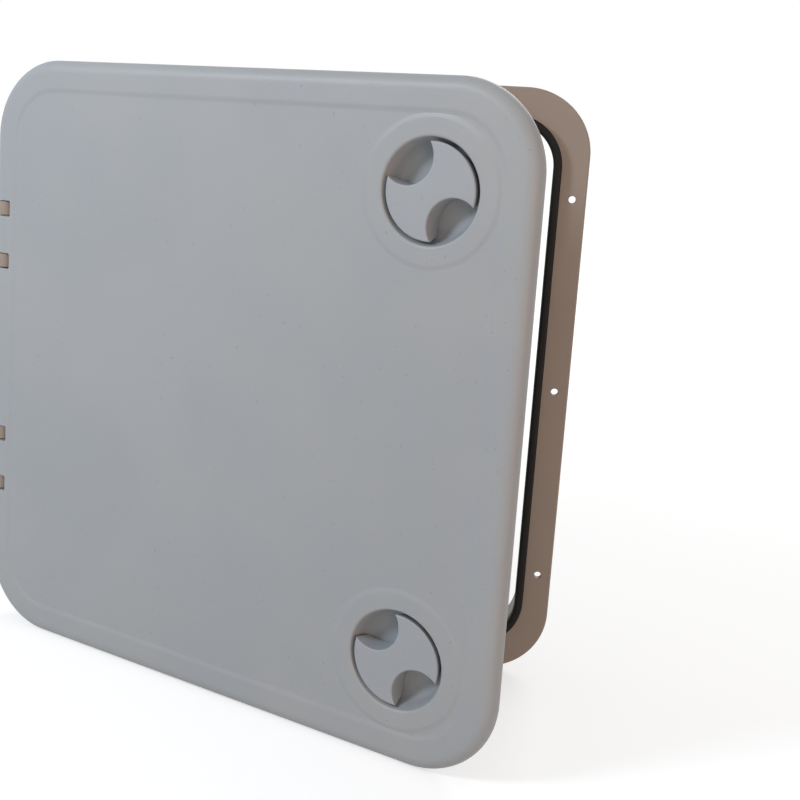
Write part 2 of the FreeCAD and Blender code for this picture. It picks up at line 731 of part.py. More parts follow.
for thing in doc.Objects:
    if "Invalid" in thing.State or "Error" in thing.State:
        raise RuntimeError(f"{thing.Label} failed: {thing.State}")
for piece in pieces:
    if piece.Shape.isNull() or not piece.Shape.isValid() or not piece.Shape.Solids:
        raise RuntimeError(f"{piece.Label} has no valid solid")

os.makedirs("parts", exist_ok=True)
for piece in pieces:
    piece.Shape.exportStep(os.path.join("parts", piece.Label + ".step"))
    box = piece.Shape.BoundBox
    print(f"{piece.Label}: {len(piece.Shape.Solids)} solid, {piece.Shape.Volume / 1000:.2f} cm3,",
          f"X {box.XMin:.1f} to {box.XMax:.1f}, Y {box.YMin:.1f} to {box.YMax:.1f},",
          f"Z {box.ZMin:.1f} to {box.ZMax:.1f}")
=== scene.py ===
# %% [markdown]
# A moulded access hatch, finished in Blender around a imported CAD model. The real hatch is satin grey
# plastic with a black rubber seal and a few small steel parts; the frame is given a darker, warmer colour
# than the lid, which is painted warm shade. The CAD model's meshes could simply be coloured, but their
# curves have flat faces and their edges are plain. So each piece is modelled again in the CAD model's frame
# and takes its node's place: it is made in millimetres with the hatch lying on its back, and one matrix
# then stands it up.

# %% The imported model
import bmesh
import bpy
import json
import math
from mathutils import Matrix, Vector


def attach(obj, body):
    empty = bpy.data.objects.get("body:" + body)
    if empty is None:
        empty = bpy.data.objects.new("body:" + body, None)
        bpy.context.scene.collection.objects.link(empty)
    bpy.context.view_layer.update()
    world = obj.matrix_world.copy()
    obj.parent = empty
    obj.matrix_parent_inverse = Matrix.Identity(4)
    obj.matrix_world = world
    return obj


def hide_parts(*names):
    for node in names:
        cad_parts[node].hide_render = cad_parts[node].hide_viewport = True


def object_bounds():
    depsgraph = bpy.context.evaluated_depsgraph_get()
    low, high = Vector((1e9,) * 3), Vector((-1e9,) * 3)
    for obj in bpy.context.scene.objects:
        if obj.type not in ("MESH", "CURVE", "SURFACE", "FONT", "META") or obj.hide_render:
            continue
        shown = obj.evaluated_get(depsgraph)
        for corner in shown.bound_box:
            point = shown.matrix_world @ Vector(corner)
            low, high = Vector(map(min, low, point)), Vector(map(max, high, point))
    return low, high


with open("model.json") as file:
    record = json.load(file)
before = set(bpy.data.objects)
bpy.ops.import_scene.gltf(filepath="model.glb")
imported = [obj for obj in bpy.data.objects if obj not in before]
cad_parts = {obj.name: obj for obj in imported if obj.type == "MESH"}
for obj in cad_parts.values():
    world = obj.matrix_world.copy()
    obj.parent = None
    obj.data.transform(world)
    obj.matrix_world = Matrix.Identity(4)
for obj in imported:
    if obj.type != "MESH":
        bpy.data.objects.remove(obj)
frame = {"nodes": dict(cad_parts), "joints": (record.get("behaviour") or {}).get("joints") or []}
cad_low, cad_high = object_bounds()
cad_nodes = frame["nodes"]
joints = {joint["name"]: joint for joint in frame["joints"]}
print("CAD box in mm:", [round(1000 * side, 1) for side in cad_high - cad_low])

# %% [markdown]
# Two spaces are enough. The plate space has X towards the latches, Y up the hatch and Z out of its front,
# with zero at the back of the frame's flange. HATCH stands that space up and turns millimetres into
# metres, and LID also swings it about the hinge line. The hinge and the latch places are read from the
# packed joints, so that the pieces follow the CAD model if it is packed again.

# %% The two spaces
MILLIMETRE = 0.001
HATCH = Matrix.Rotation(math.radians(90), 4, "X") @ Matrix.Scale(MILLIMETRE, 4)
hinge_line = Vector(joints["lid_hinge"]["pos_m"])
open_angle = -joints["lid_hinge"]["range_deg"][0]
swing = Matrix.Rotation(math.radians(-open_angle), 4, "Z")
LID = Matrix.Translation(hinge_line) @ swing @ Matrix.Translation(-hinge_line) @ HATCH
HINGE = HATCH.inverted() @ hinge_line
HALF = cad_high.x / MILLIMETRE
LATCHES = {side: LID.inverted() @ Vector(joints[f"latch_{side}_turn"]["pos_m"])
           for side in ("lower", "upper")}
LID_FRONT = LATCHES["upper"].z
print(f"half the width {HALF:.2f} mm, hinge at x {HINGE.x:.2f}, z {HINGE.z:.2f}")
print(f"lid front at z {LID_FRONT:.2f}, lid open {open_angle} degrees")

# %% [markdown]
# The sizes below are the real ones in millimetres. Each is a size that the moulder would put on a drawing,
# and what fits against it is worked out from it.

# %% Sizes of the mouldings
FLANGE = 4.0
FLANGE_CORNER = 40.5
FLANGE_ROUND = 1.2
OPENING = HALF - 20.3
OPENING_CORNER = 28.0
WALL = 2.4
SKIRT = -22.0
UPSTAND = 8.0
SEAL_LEG = 1.4
SEAL_TOP = 10.0
SEAL_ROUND = 1.8
LID_BACK = 5.2
LID_CORNER = 49.0
FRONT_ROUND = 7.0
BACK_ROUND = 5.0
CEILING = 13.4
CHANNEL = (HALF - 5.5, HALF - 11.5, LID_BACK + 7.0)
CAVITY = HALF - 14.2
LAND = (OPENING + 5.3, OPENING - 2.9, SEAL_TOP + 0.3)
PANEL = HALF - 16.5
PANEL_CORNER = 34.0
PANEL_STEP = 0.6
PAD = 39.5
CUP = 28.0
CUP_TAPER = 3.0
CUP_FLOOR = LID_FRONT - 15.0
CUP_BACK = CUP_FLOOR - 3.0
SLEEVE = 12.0
SLEEVE_END = -15.0
STEM = 7.5
CORNER_STEPS = 28
ARC_STEPS = 8
print(f"opening {2 * OPENING:.1f} mm wide, panel {2 * PANEL:.1f} mm, cup floor at {CUP_FLOOR:.1f} mm")

# %% [markdown]
# Most of the hatch is one kind of shape: a profile that runs round a square with round corners. Sweeping a
# profile would need the same corner centre everywhere, and here the flange and the opening differ. So each
# edge of the profile is a ring of its own, a square whose corners are rounded by the bevel operator, and
# neighbouring rings are bridged. Two rings in one plane could be bridged the wrong way round, so the rings
# are stacked one above another until that is done, and only then go to their own heights. A trial at the
# end of the cell shows what the helper makes, and its volume can be worked out by hand.

# %% Rings and what they enclose
def square_ring(bm, half, corner, height):
    """A square with round corners, as one loop of edges."""
    made = bmesh.ops.create_circle(bm, cap_ends=True, segments=4, radius=half * math.sqrt(2))
    turn = Matrix.Translation((0, 0, height)) @ Matrix.Rotation(math.radians(45), 4, "Z")
    bmesh.ops.transform(bm, matrix=turn, verts=made["verts"])
    rounded = bmesh.ops.bevel(bm, geom=made["verts"], offset=corner, segments=CORNER_STEPS, profile=0.5,
                              affect="VERTICES", material=-1)
    face = next(f for v in rounded["verts"] for f in v.link_faces)
    edges = list(face.edges)
    bmesh.ops.delete(bm, geom=[face], context="FACES_ONLY")
    return edges


def bridge_rings(bm, rings, closed=False):
    """Join each ring to the next, and the last to the first or both ends to a flat face."""
    loops = [square_ring(bm, half, corner, level) for level, (half, corner, height) in enumerate(rings)]
    members = [{vert for edge in loop for vert in edge.verts} for loop in loops]
    following = loops[1:] + loops[:1] if closed else loops[1:]
    for one, other in zip(loops, following):
        bmesh.ops.bridge_loops(bm, edges=one + other)
    if not closed:
        for end in (loops[0], loops[-1]):
            bmesh.ops.edgeloop_fill(bm, edges=end)
    for verts, ring in zip(members, rings):
        for vert in verts:
            vert.co.z = ring[2]


def quarter_round(centre, height, radius, start, end, steps=ARC_STEPS):
    """Distance from the middle and height of points on an arc, angles in degrees."""
    angles = [math.radians(start + (end - start) * step / steps) for step in range(steps + 1)]
    return [(centre + radius * math.cos(a), height + radius * math.sin(a)) for a in angles]


def concentric(points, half, corner):
    """Rings whose corner radius shrinks with them, so that the wall keeps its thickness."""
    return [(out, corner - half + out, height) for out, height in points]


def trial(words, build):
    """Print what a helper makes when it is tried on its own."""
    bm = bmesh.new()
    build(bm)
    bmesh.ops.recalc_face_normals(bm, faces=bm.faces)
    print(f"{words}: {len(bm.faces)} faces, volume {bm.calc_volume():.3f}")
    bm.free()


trial("two rings, half 1 and corner 0.5, bridged", lambda bm: bridge_rings(bm, [(1, 0.5, 0), (1, 0.5, 1)]))

# %% [markdown]
# The round pieces are turned. Their profile is a chain of points in the XZ plane, which the spin operator
# carries once round the Z axis. Points on the axis close the piece, and doubles there are merged.

# %% Turned shapes and blocks
ROUND_STEPS = 72
DOUBLES = 1e-4


def turned(bm, profile, centre=(0, 0), steps=ROUND_STEPS):
    """A solid of revolution about an upright line. The profile's points are radius and height."""
    before = set(bm.verts)
    verts = [bm.verts.new((radius, 0, height)) for radius, height in profile]
    edges = [bm.edges.new(pair) for pair in zip(verts, verts[1:])]
    bmesh.ops.spin(bm, geom=verts + edges, cent=(0, 0, 0), axis=(0, 0, 1), angle=2 * math.pi, steps=steps,
                   use_merge=True)
    bmesh.ops.remove_doubles(bm, verts=[v for v in bm.verts if v not in before], dist=DOUBLES)
    bmesh.ops.translate(bm, verts=[v for v in bm.verts if v not in before], vec=(*centre, 0))


CLEAR = 1.0


def block(bm, low, high):
    """A box between two corners."""
    made = bmesh.ops.create_cube(bm, size=1)
    low, high = Vector(low), Vector(high)
    place = Matrix.Translation((low + high) / 2) @ Matrix.Diagonal((*(high - low), 1))
    bmesh.ops.transform(bm, matrix=place, verts=made["verts"])
    return made["verts"]


def soften(bm, edges, width, steps=3):
    """Round some edges of a mesh."""
    bmesh.ops.bevel(bm, geom=list(dict.fromkeys(edges)), offset=width, segments=steps, profile=0.5,
                    affect="EDGES", material=-1, clamp_overlap=True)


def edges_of(verts, test):
    """The edges at some vertices whose two ends pass a test."""
    return [edge for vert in verts for edge in vert.link_edges if test(*edge.verts)]


trial("a turned disc of radius 1 and height 1", lambda bm: turned(bm, [(0, 0), (1, 0), (1, 1), (0, 1)]))
trial("a block with sides 1, 2 and 3", lambda bm: block(bm, (0, 0, 0), (1, 2, 3)))

# %% [markdown]
# An ear and a cam's arm are outlines that get a thickness. Their arcs could be lists of points, but then
# the radius is lost among the numbers. The pen keeps it: a straight stroke extrudes the last point, and an
# arc spins it about a centre in small steps.

# %% Outlines
PEN_DOUBLES = 1e-3
SAME = 0.01


class Pen:
    """Draws an outline: straight strokes, and arcs made by the spin operator."""

    def __init__(self, bm, x, y):
        self.bm = bm
        self.tip = bm.verts.new((x, y, 0))
        self.drawn = [self.tip]

    def line(self, x, y):
        made = bmesh.ops.extrude_vert_indiv(self.bm, verts=[self.tip])
        self.tip = made["verts"][0]
        self.tip.co = (x, y, 0)
        self.drawn.append(self.tip)
        return self

    def arc(self, centre, degrees, steps):
        for _ in range(steps):
            made = bmesh.ops.spin(self.bm, geom=[self.tip], cent=(*centre, 0), axis=(0, 0, 1), steps=1,
                                  angle=math.radians(degrees / steps))
            self.tip = made["geom_last"][0]
            self.drawn.append(self.tip)
        return self

    def face(self):
        if (self.tip.co - self.drawn[0].co).length > PEN_DOUBLES:
            self.bm.edges.new((self.tip, self.drawn[0]))
        bmesh.ops.remove_doubles(self.bm, verts=self.drawn, dist=PEN_DOUBLES)
        edges = dict.fromkeys(edge for vert in self.drawn if vert.is_valid for edge in vert.link_edges)
        return bmesh.ops.edgeloop_fill(self.bm, edges=list(edges))["faces"][0]

# %% [markdown]
# A moulding is a body with things added and things cut away. The Boolean modifier does that on closed
# meshes, and each cutter carries the small rounding that the mould gives the edge it makes, so no edge has
# to be found and bevelled afterwards.

# %% Adding and cutting
def as_object(bm, name):
    """A closed mesh as an object, with its faces outwards, so that its volume is above zero."""
    bmesh.ops.recalc_face_normals(bm, faces=bm.faces)
    if bm.calc_volume(signed=True) < 0:
        bmesh.ops.reverse_faces(bm, faces=bm.faces)
    mesh = bpy.data.meshes.new(name)
    bm.to_mesh(mesh)
    bm.free()
    made = bpy.data.objects.new(name, mesh)
    bpy.context.scene.collection.objects.link(made)
    return made


def solid(name, build):
    """An object whose mesh is drawn by a function in an empty bmesh."""
    bm = bmesh.new()
    build(bm)
    return as_object(bm, name)


def combine(base, operation, build):
    """Change base by a second mesh, which a function draws."""
    tool = solid("tool", build)
    modifier = base.modifiers.new("combine", "BOOLEAN")
    modifier.operation = operation
    modifier.solver = "MANIFOLD"
    modifier.object = tool
    graph = bpy.context.evaluated_depsgraph_get()
    mesh = bpy.data.meshes.new_from_object(base.evaluated_get(graph))
    base.modifiers.clear()
    old = base.data
    base.data = mesh
    bpy.data.meshes.remove(old)
    bpy.data.objects.remove(tool)


def add(base, build):
    """Join what build draws to base."""
    combine(base, "UNION", build)


def cut(base, build):
    """Take what build draws away from base."""
    combine(base, "DIFFERENCE", build)

# %% [markdown]
# Every piece ends the same way. Its place goes into its mesh, so that the object itself sits at the origin
# as the CAD nodes do, and the materials' patterns stay where they are. Sharp edges could be marked by
# hand, but an angle finds them all: what turns by less is shaded as a curve. The Weighted Normal modifier
# keeps large flat faces flat beside small rounds. The piece then rides on the body that it moves with and
# takes over from its CAD node. In a closed mesh every edge has two faces, so the edges that haven't are
# counted, and there should be none.

# %% Finishing a piece
SMOOTH_ANGLE = math.radians(38)
FULL_WEIGHT = 100


def edge_faces(mesh):
    """How many faces use each edge."""
    count = dict.fromkeys(range(len(mesh.edges)), 0)
    for loop in mesh.loops:
        count[loop.edge_index] += 1
    return count


def finish_piece(made, name, body, material, place, node):
    """Put a piece in its place, shade it, hang it on its body, and hide the CAD node it replaces."""
    mesh = made.data
    mesh.transform(place)
    mesh.update()
    mesh.shade_smooth()
    mesh.set_sharp_from_angle(angle=SMOOTH_ANGLE)
    weighted = made.modifiers.new("flat faces stay flat", "WEIGHTED_NORMAL")
    weighted.keep_sharp = True
    weighted.weight = FULL_WEIGHT
    made.name = name
    mesh.name = name
    mesh.materials.clear()
    mesh.materials.append(material)
    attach(made, body)
    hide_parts(node)
    open_edges = sum(1 for faces in edge_faces(mesh).values() if faces != 2)
    print(f"{name}: {len(mesh.polygons)} faces, {open_edges} open edges")

# %% [markdown]
# Roughness, dust and bumps are all sums of a few noises. Linking a Math node for each plus and times would
# hide the sum. So a Signal wraps a socket, and an expression on Signals adds the nodes that work it out.

# %% Shader maths
class Signal:
    """A number that changes over the surface."""

    def __init__(self, nodes, socket):
        self.nodes = nodes
        self.socket = socket

    def maths(self, operation, *others):
        sockets = dict(enumerate((self, *others)))
        made = self.nodes.node("ShaderNodeMath", {"operation": operation}, sockets)
        return Signal(self.nodes, made.outputs["Value"])

    def __add__(self, other):
        return self.maths("ADD", other)

    __radd__ = __add__

    def __mul__(self, other):
        return self.maths("MULTIPLY", other)

    __rmul__ = __mul__

    def larger(self, other):
        return self.maths("MAXIMUM", other)

    def ramp(self, low, high):
        """0 below low, 1 above high, and smooth between them."""
        made = self.nodes.node("ShaderNodeMapRange", {"interpolation_type": "SMOOTHSTEP"},
                               {"Value": self, "From Min": low, "From Max": high})
        return Signal(self.nodes, made.outputs["Result"])

# %% [markdown]
# Every node comes from one method, which takes its type, its settings and what its sockets get. Setting
# each socket on a line of its own would do the same, but a socket can get a number, a Signal or another
# node's output, and one method can tell which it is.

# %% Node trees
class Nodes:
    """A node tree, with the one way in which nodes are added to it."""

    def __init__(self, tree):
        self.tree = tree

    def node(self, kind, settings=None, sockets=None):
        made = self.tree.nodes.new(kind)
        for name, value in (settings or {}).items():
            setattr(made, name, value)
        for name, value in (sockets or {}).items():
            self.feed(made.inputs[name], value)
        return made

    def feed(self, socket, value):
        """Link a Signal or a socket, or set a plain value."""
        if isinstance(value, Signal):
            value = value.socket
        if isinstance(value, bpy.types.NodeSocket):
            self.tree.links.new(value, socket)
        else:
            socket.default_value = value

# %% [markdown]
# A Finish is one material. It starts from the Principled shader with its constant values set on the
# shader's own sockets, and has short ways to add what the finishes here use: noise of a size in
# millimetres, bump layers with a height in millimetres, and a mix of two colours, which needs a node of
# its own because a Math node would turn colours grey.

# %% Finishes
MIX_FACTOR = 0
MIX_ONE = 6
MIX_OTHER = 7
MIX_RESULT = 2


class Finish(Nodes):
    """One material and short ways to build it."""

    def __init__(self, name, **values):
        self.material = bpy.data.materials.new(name)
        self.material.use_nodes = True
        super().__init__(self.material.node_tree)
        self.shader = self.tree.nodes["Principled BSDF"]
        for socket, value in values.items():
            self.feed(self.shader.inputs[socket.replace("_", " ")], value)
        self.place = self.node("ShaderNodeTexCoord").outputs["Object"]

    def noise(self, size, detail=2.0, stretch=(1, 1, 1), seed=0.0):
        """Noise from 0 to 1 whose features are about size millimetres."""
        scale = [share / (size * MILLIMETRE) for share in stretch]
        mapping = self.node("ShaderNodeMapping", None,
                            {"Vector": self.place, "Location": (seed, seed, seed), "Scale": scale})
        made = self.node("ShaderNodeTexNoise", None,
                         {"Vector": mapping.outputs["Vector"], "Scale": 1.0, "Detail": detail})
        return Signal(self, made.outputs["Fac"])

    def mix(self, factor, one, other):
        """A colour between two colours."""
        sockets = {MIX_FACTOR: factor}
        for slot, colour in ((MIX_ONE, one), (MIX_OTHER, other)):
            sockets[slot] = colour if isinstance(colour, bpy.types.NodeSocket) else (*colour, 1)
        return self.node("ShaderNodeMix", {"data_type": "RGBA"}, sockets).outputs[MIX_RESULT]

    def colour(self, colour):
        self.feed(self.shader.inputs["Base Color"], colour)

    def roughness(self, signal):
        self.feed(self.shader.inputs["Roughness"], signal)

    def bump(self, *layers):
        """Each layer is a signal and its height in millimetres."""
        normal = None
        for signal, height in layers:
            sockets = {"Height": signal, "Strength": 1.0, "Distance": height * MILLIMETRE}
            if normal:
                sockets["Normal"] = normal
            normal = self.node("ShaderNodeBump", None, sockets).outputs["Normal"]
        self.feed(self.shader.inputs["Normal"], normal)

# %% [markdown]
# The mouldings are ABS with a fine matt texture from the mould. Under a soft light that shows as a satin
# surface with no sharp reflections. A picture of the texture could be laid over the pieces, but it would
# need seams and would blur close up, so noises make it: a grain of a third of a millimetre as bump, a slow
# unevenness like orange peel, and a colour that drifts by a few percent over the sheet. Handling polishes
# the texture a little, so the roughness drifts too, and sparse specks stand for dust and small marks. The
# lid and the knobs are a cool grey. The frame is the same plastic, but its colours are a darker, warm
# taupe: painted warm shade, for the warm light and the lid's shade that fall on the flange.

# %% Moulded plastic
PLASTIC_IOR = 1.5
GRAIN_SIZE = 0.35
GRAIN_HEIGHT = 0.012
PEEL_SIZE = 9.0
PEEL_HEIGHT = 0.02
CLOUD_SIZE = 85.0
PATCH_SIZE = 24.0
SPECK_SIZE = 1.6
SPECK_SHARE = 0.5
SPECK = (0.23, 0.235, 0.24)
SATIN = 0.40
LID_COLOURS = ((0.345, 0.372, 0.395), (0.366, 0.388, 0.402))
KNOB_COLOURS = ((0.346, 0.376, 0.408), (0.360, 0.388, 0.414))
# The frame's two colours are painted warm shade: darker and warmer than its real grey plastic.
FRAME_COLOURS_PAINTED_WARM_SHADE = ((0.298, 0.246, 0.208), (0.312, 0.259, 0.220))


def moulded_plastic(name, colours, seed):
    """Satin plastic whose colour drifts between two, with noises of its own for each seed."""
    finish = Finish(name, IOR=PLASTIC_IOR)
    grain = finish.noise(GRAIN_SIZE, detail=3.0, seed=seed)
    peel = finish.noise(PEEL_SIZE, detail=1.0, seed=seed + 3)
    cloud = finish.noise(CLOUD_SIZE, detail=2.0, seed=seed + 7)
    patch = finish.noise(PATCH_SIZE, detail=4.0, seed=seed + 11)
    specks = finish.noise(SPECK_SIZE, detail=0.0, seed=seed + 17).ramp(0.80, 0.86)
    body = finish.mix(cloud.ramp(0.3, 0.7), *colours)
    finish.colour(finish.mix(specks * SPECK_SHARE, body, SPECK))
    finish.roughness(patch * 0.12 + grain * 0.06 + SATIN)
    finish.bump((peel, PEEL_HEIGHT), (grain, GRAIN_HEIGHT))
    return finish.material


def count_nodes(*materials):
    """Print how many shader nodes each material has."""
    for material in materials:
        print(f"{material.name}: {len(material.node_tree.nodes)} nodes")


LID_GREY = moulded_plastic("lid_grey_plastic", LID_COLOURS, seed=0.0)
# The frame's material has painted warm shade in its colour.
FRAME_PLASTIC_PAINTED_SHADE = moulded_plastic("frame_plastic_painted_warm_shade", FRAME_COLOURS_PAINTED_WARM_SHADE, seed=40.0)
KNOB_GREY = moulded_plastic("knob_grey_plastic", KNOB_COLOURS, seed=80.0)
count_nodes(LID_GREY, FRAME_PLASTIC_PAINTED_SHADE, KNOB_GREY)

# %% [markdown]
# The seal and the rings are black rubber, matt with a dry bloom. The cams are glass filled nylon, nearly
# black with a coarser texture, and the washers that rub on the lid are plain nylon, which lets a little
# light in. Black needs care: a colour of zero would look like a hole, so both blacks keep a little grey,
# and the rubber reflects less than its shader would by itself.

# %% Rubber and nylon
RUBBER_COLOURS = ((0.004, 0.004, 0.004), (0.009, 0.009, 0.009))
CAM_COLOURS = ((0.020, 0.020, 0.022), (0.038, 0.038, 0.040))
WASHER_COLOURS = ((0.72, 0.70, 0.64), (0.80, 0.78, 0.72))


def soft_rubber():
    finish = Finish("black_rubber", Specular_IOR_Level=0.2)
    bloom = finish.noise(5.0, detail=4.0)
    grain = finish.noise(0.5, detail=2.0, seed=5)
    finish.colour(finish.mix(bloom.ramp(0.35, 0.75), *RUBBER_COLOURS))
    finish.roughness(bloom * 0.2 + 0.5)
    finish.bump((grain, 0.02))
    return finish.material


def filled_nylon():
    finish = Finish("black_nylon")
    fibres = finish.noise(0.8, detail=4.0, stretch=(1, 0.4, 1))
    cloud = finish.noise(14.0, detail=2.0, seed=9)
    finish.colour(finish.mix(cloud.ramp(0.3, 0.7), *CAM_COLOURS))
    finish.roughness(fibres * 0.25 + 0.38)
    finish.bump((fibres, 0.03))
    return finish.material


def plain_nylon():
    finish = Finish("white_nylon", Subsurface_Weight=0.15, Subsurface_Scale=0.002)
    cloud = finish.noise(6.0, detail=2.0)
    finish.colour(finish.mix(cloud.ramp(0.3, 0.7), *WASHER_COLOURS))
    finish.roughness(cloud * 0.1 + 0.36)
    finish.bump((finish.noise(0.6, detail=2.0, seed=4), 0.01))
    return finish.material


RUBBER = soft_rubber()
BLACK_NYLON = filled_nylon()
WHITE_NYLON = plain_nylon()
count_nodes(RUBBER, BLACK_NYLON, WHITE_NYLON)

# %% [markdown]
# The screws, washers and hinge pins are stainless steel. Turning and stamping leave fine lines on it. The
# shader's anisotropy could show them, but it is one setting for the whole piece and can't be baked into a
# picture. A noise that is stretched along one axis can, and it gives the lines to both the roughness and
# the bump.

# %% Stainless steel
STEEL_COLOURS = ((0.63, 0.61, 0.58), (0.52, 0.50, 0.47))


def stainless():
    finish = Finish("stainless_steel", Metallic=1.0)
    lines = finish.noise(0.25, detail=3.0, stretch=(1, 1, 0.05))
    stain = finish.noise(4.0, detail=3.0, seed=6)
    finish.colour(finish.mix(stain.ramp(0.3, 0.8), *STEEL_COLOURS))
    finish.roughness(lines * 0.16 + stain * 0.1 + 0.16)
    finish.bump((lines, 0.004))
    return finish.material


STEEL = stainless()
count_nodes(STEEL)

# %% [markdown]
# The lid is the largest moulding. From the edge inwards its profile is a round front edge, a smaller round
# at the back, a channel that lightens the rim, the cavity and the land that presses the seal. All of that
# is one list of rings, bridged and closed by two flat faces.

# %% Lid shell
LID_EDGE = 0.25
FACE_INSET = 1.0


def lid_shell(bm):
    front = quarter_round(HALF - FRONT_ROUND, LID_FRONT - FRONT_ROUND, FRONT_ROUND, 90, 0)
    back = quarter_round(HALF - BACK_ROUND, LID_BACK + BACK_ROUND, BACK_ROUND, 0, -90)
    outer, inner, depth = CHANNEL
    edge = LID_EDGE
    section = [(front[0][0] - FACE_INSET, LID_FRONT), *front, *back]
    section += [(outer, LID_BACK + edge), (outer, depth), (inner, depth), (inner, LID_BACK + edge),
                (inner - edge, LID_BACK), (CAVITY + edge, LID_BACK), (CAVITY, LID_BACK + edge),
                (CAVITY, CEILING)]
    rings = concentric(section, HALF, LID_CORNER)
    land_outer, land_inner, land = LAND
    for out, height in [(land_outer, CEILING), (land_outer, land + edge), (land_outer - edge, land),
                        (land_inner + edge, land), (land_inner, land + edge), (land_inner, CEILING)]:
        rings.append((out, OPENING_CORNER - OPENING + out, height))
    bridge_rings(bm, rings)


lid = solid("lid_moulding", lid_shell)
print("lid shell faces:", len(lid.data.polygons))

# %% [markdown]
# The front has a panel, sunk by less than a millimetre, and a round pad stands in it about each latch.
# Neither step has a sharp edge on the real lid. Both follow half a wave, so one list of points serves the
# rings of the panel's cutter and the profile that the pads are turned from.

# %% Sunk panel and latch pads
STEP_WIDTH = 4.0
STEP_POINTS = 10
ABOVE = 3.0
BURIED = 0.02
PAD_STEPS = 120


def half_wave(inner, outer, low, high):
    """Distance and height of a soft step that rises from inner to outer."""
    waves = [(1 - math.cos(math.pi * step / STEP_POINTS)) / 2 for step in range(STEP_POINTS + 1)]
    return [(inner + (outer - inner) * step / STEP_POINTS, low + (high - low) * wave)
            for step, wave in enumerate(waves)]


def panel_cutter(bm):
    wall = half_wave(PANEL - STEP_WIDTH, PANEL, LID_FRONT - PANEL_STEP, LID_FRONT)
    bridge_rings(bm, concentric([*wall, (PANEL, LID_FRONT + ABOVE)], PANEL, PANEL_CORNER))


def pads(bm):
    wave = half_wave(PAD + STEP_WIDTH / 2, PAD - STEP_WIDTH / 2, LID_FRONT - PANEL_STEP - BURIED, LID_FRONT)
    profile = [(0, CEILING + CLEAR), (wave[0][0], CEILING + CLEAR), *wave, (0, LID_FRONT)]
    for latch in LATCHES.values():
        turned(bm, profile, (latch.x, latch.y), PAD_STEPS)


cut(lid, panel_cutter)
add(lid, pads)
print("lid faces with panel and pads:", len(lid.data.polygons))

# %% [markdown]
# Two cups take the latch knobs. Each is a thick wall behind the lid with a sleeve for the knob's stem. A
# cup could be one turned shell, but where it meets the lid two skins would lie inside each other. So its
# outside is added to the lid as a full solid, and the inside is cut last, in one turned shape. Its wall
# leans and runs into the floor in a wide round, so it is nearly a bowl, and its rim is rounded outwards.
# The knob's underside has the same curve, so the function that draws it takes both.

# %% Latch cups
RIM_ROUND = 1.6
FLOOR_ROUND = 8.0
CUP_WALL = 3.0
CUP_STEPS = 96
BACK_EDGE = 1.0
SLEEVE_FILLET = 1.2
SLEEVE_EDGE = 0.5
STEM_PLAY = 0.05
print(f"cups {2 * CUP:.0f} mm wide and {LID_FRONT - CUP_FLOOR:.0f} mm deep")


def bowl(rim, top, floor_edge, floor):
    """Leaning wall from rim down to a round that ends on the floor."""
    lean = math.atan2(rim - floor_edge, top - floor)
    centre = floor_edge - FLOOR_ROUND * (1 - math.sin(lean)) / math.cos(lean)
    return quarter_round(centre, floor + FLOOR_ROUND, FLOOR_ROUND, -math.degrees(lean), -90, steps=12)


def cup_backs(bm):
    outer = CUP + CUP_WALL
    profile = [(0, CEILING + CLEAR), (outer, CEILING + CLEAR)]
    profile += quarter_round(outer - BACK_EDGE, CUP_BACK + BACK_EDGE, BACK_EDGE, 0, -90, steps=4)
    profile += quarter_round(SLEEVE + SLEEVE_FILLET, CUP_BACK - SLEEVE_FILLET, SLEEVE_FILLET, 90, 180,
                             steps=4)
    profile += quarter_round(SLEEVE - SLEEVE_EDGE, SLEEVE_END + SLEEVE_EDGE, SLEEVE_EDGE, 0, -90, steps=3)
    profile.append((0, SLEEVE_END))
    for latch in LATCHES.values():
        turned(bm, profile, (latch.x, latch.y))


def cup_hollows(bm):
    profile = [(0, LID_FRONT + CLEAR), (CUP + RIM_ROUND, LID_FRONT + CLEAR)]
    profile += quarter_round(CUP + RIM_ROUND, LID_FRONT - RIM_ROUND, RIM_ROUND, 90, 180, steps=6)
    profile += bowl(CUP, LID_FRONT, CUP - CUP_TAPER, CUP_FLOOR)
    bore = STEM + STEM_PLAY
    profile += [(bore, CUP_FLOOR), (bore, SLEEVE_END - CLEAR), (0, SLEEVE_END - CLEAR)]
    for latch in LATCHES.values():
        turned(bm, profile, (latch.x, latch.y), CUP_STEPS)

# %% [markdown]
# Behind the panel the lid is stiffened by crossing ribs. They could be drawn as one grid, but single
# blocks keep the pitch and the count as two numbers. Their free edges are rounded before they are added.
# The small round marks between them are where the mould's pins push the part out.

# %% Ribs and pin marks
RIB = 2.5
RIB_ROUND = 0.6
RIB_DEPTH = 5.0
RIB_OVERLAP = 1.5
RIB_PITCH = 58.0
RIB_COUNT = 5
MARK = 3.0
MARK_DEPTH = 0.15
MARK_STEPS = 24
rib_lines = [RIB_PITCH * (step - (RIB_COUNT - 1) / 2) for step in range(RIB_COUNT)]
RIB_END = LAND[1] + RIB_OVERLAP
print("ribs at", rib_lines)


def ribs(bm, along_x):
    for line in rib_lines:
        low = [-RIB_END, line - RIB / 2, CEILING - RIB_DEPTH]
        high = [RIB_END, line + RIB / 2, CEILING + CLEAR]
        if not along_x:
            low[0], low[1] = low[1], low[0]
            high[0], high[1] = high[1], high[0]
        verts = block(bm, low, high)
        free = [edge for edge in edges_of(verts, lambda a, b: max(a.co.z, b.co.z) < CEILING)
                if edge.calc_length() > 2 * RIB]
        soften(bm, free, RIB_ROUND)


def pin_marks(bm):
    for x in rib_lines[1:]:
        for y in rib_lines[1:]:
            top = CEILING + MARK_DEPTH
            turned(bm, [(0, CEILING - CLEAR), (MARK, CEILING - CLEAR), (MARK, top), (0, top)],
                   (x - RIB_PITCH / 2, y - RIB_PITCH / 2), MARK_STEPS)

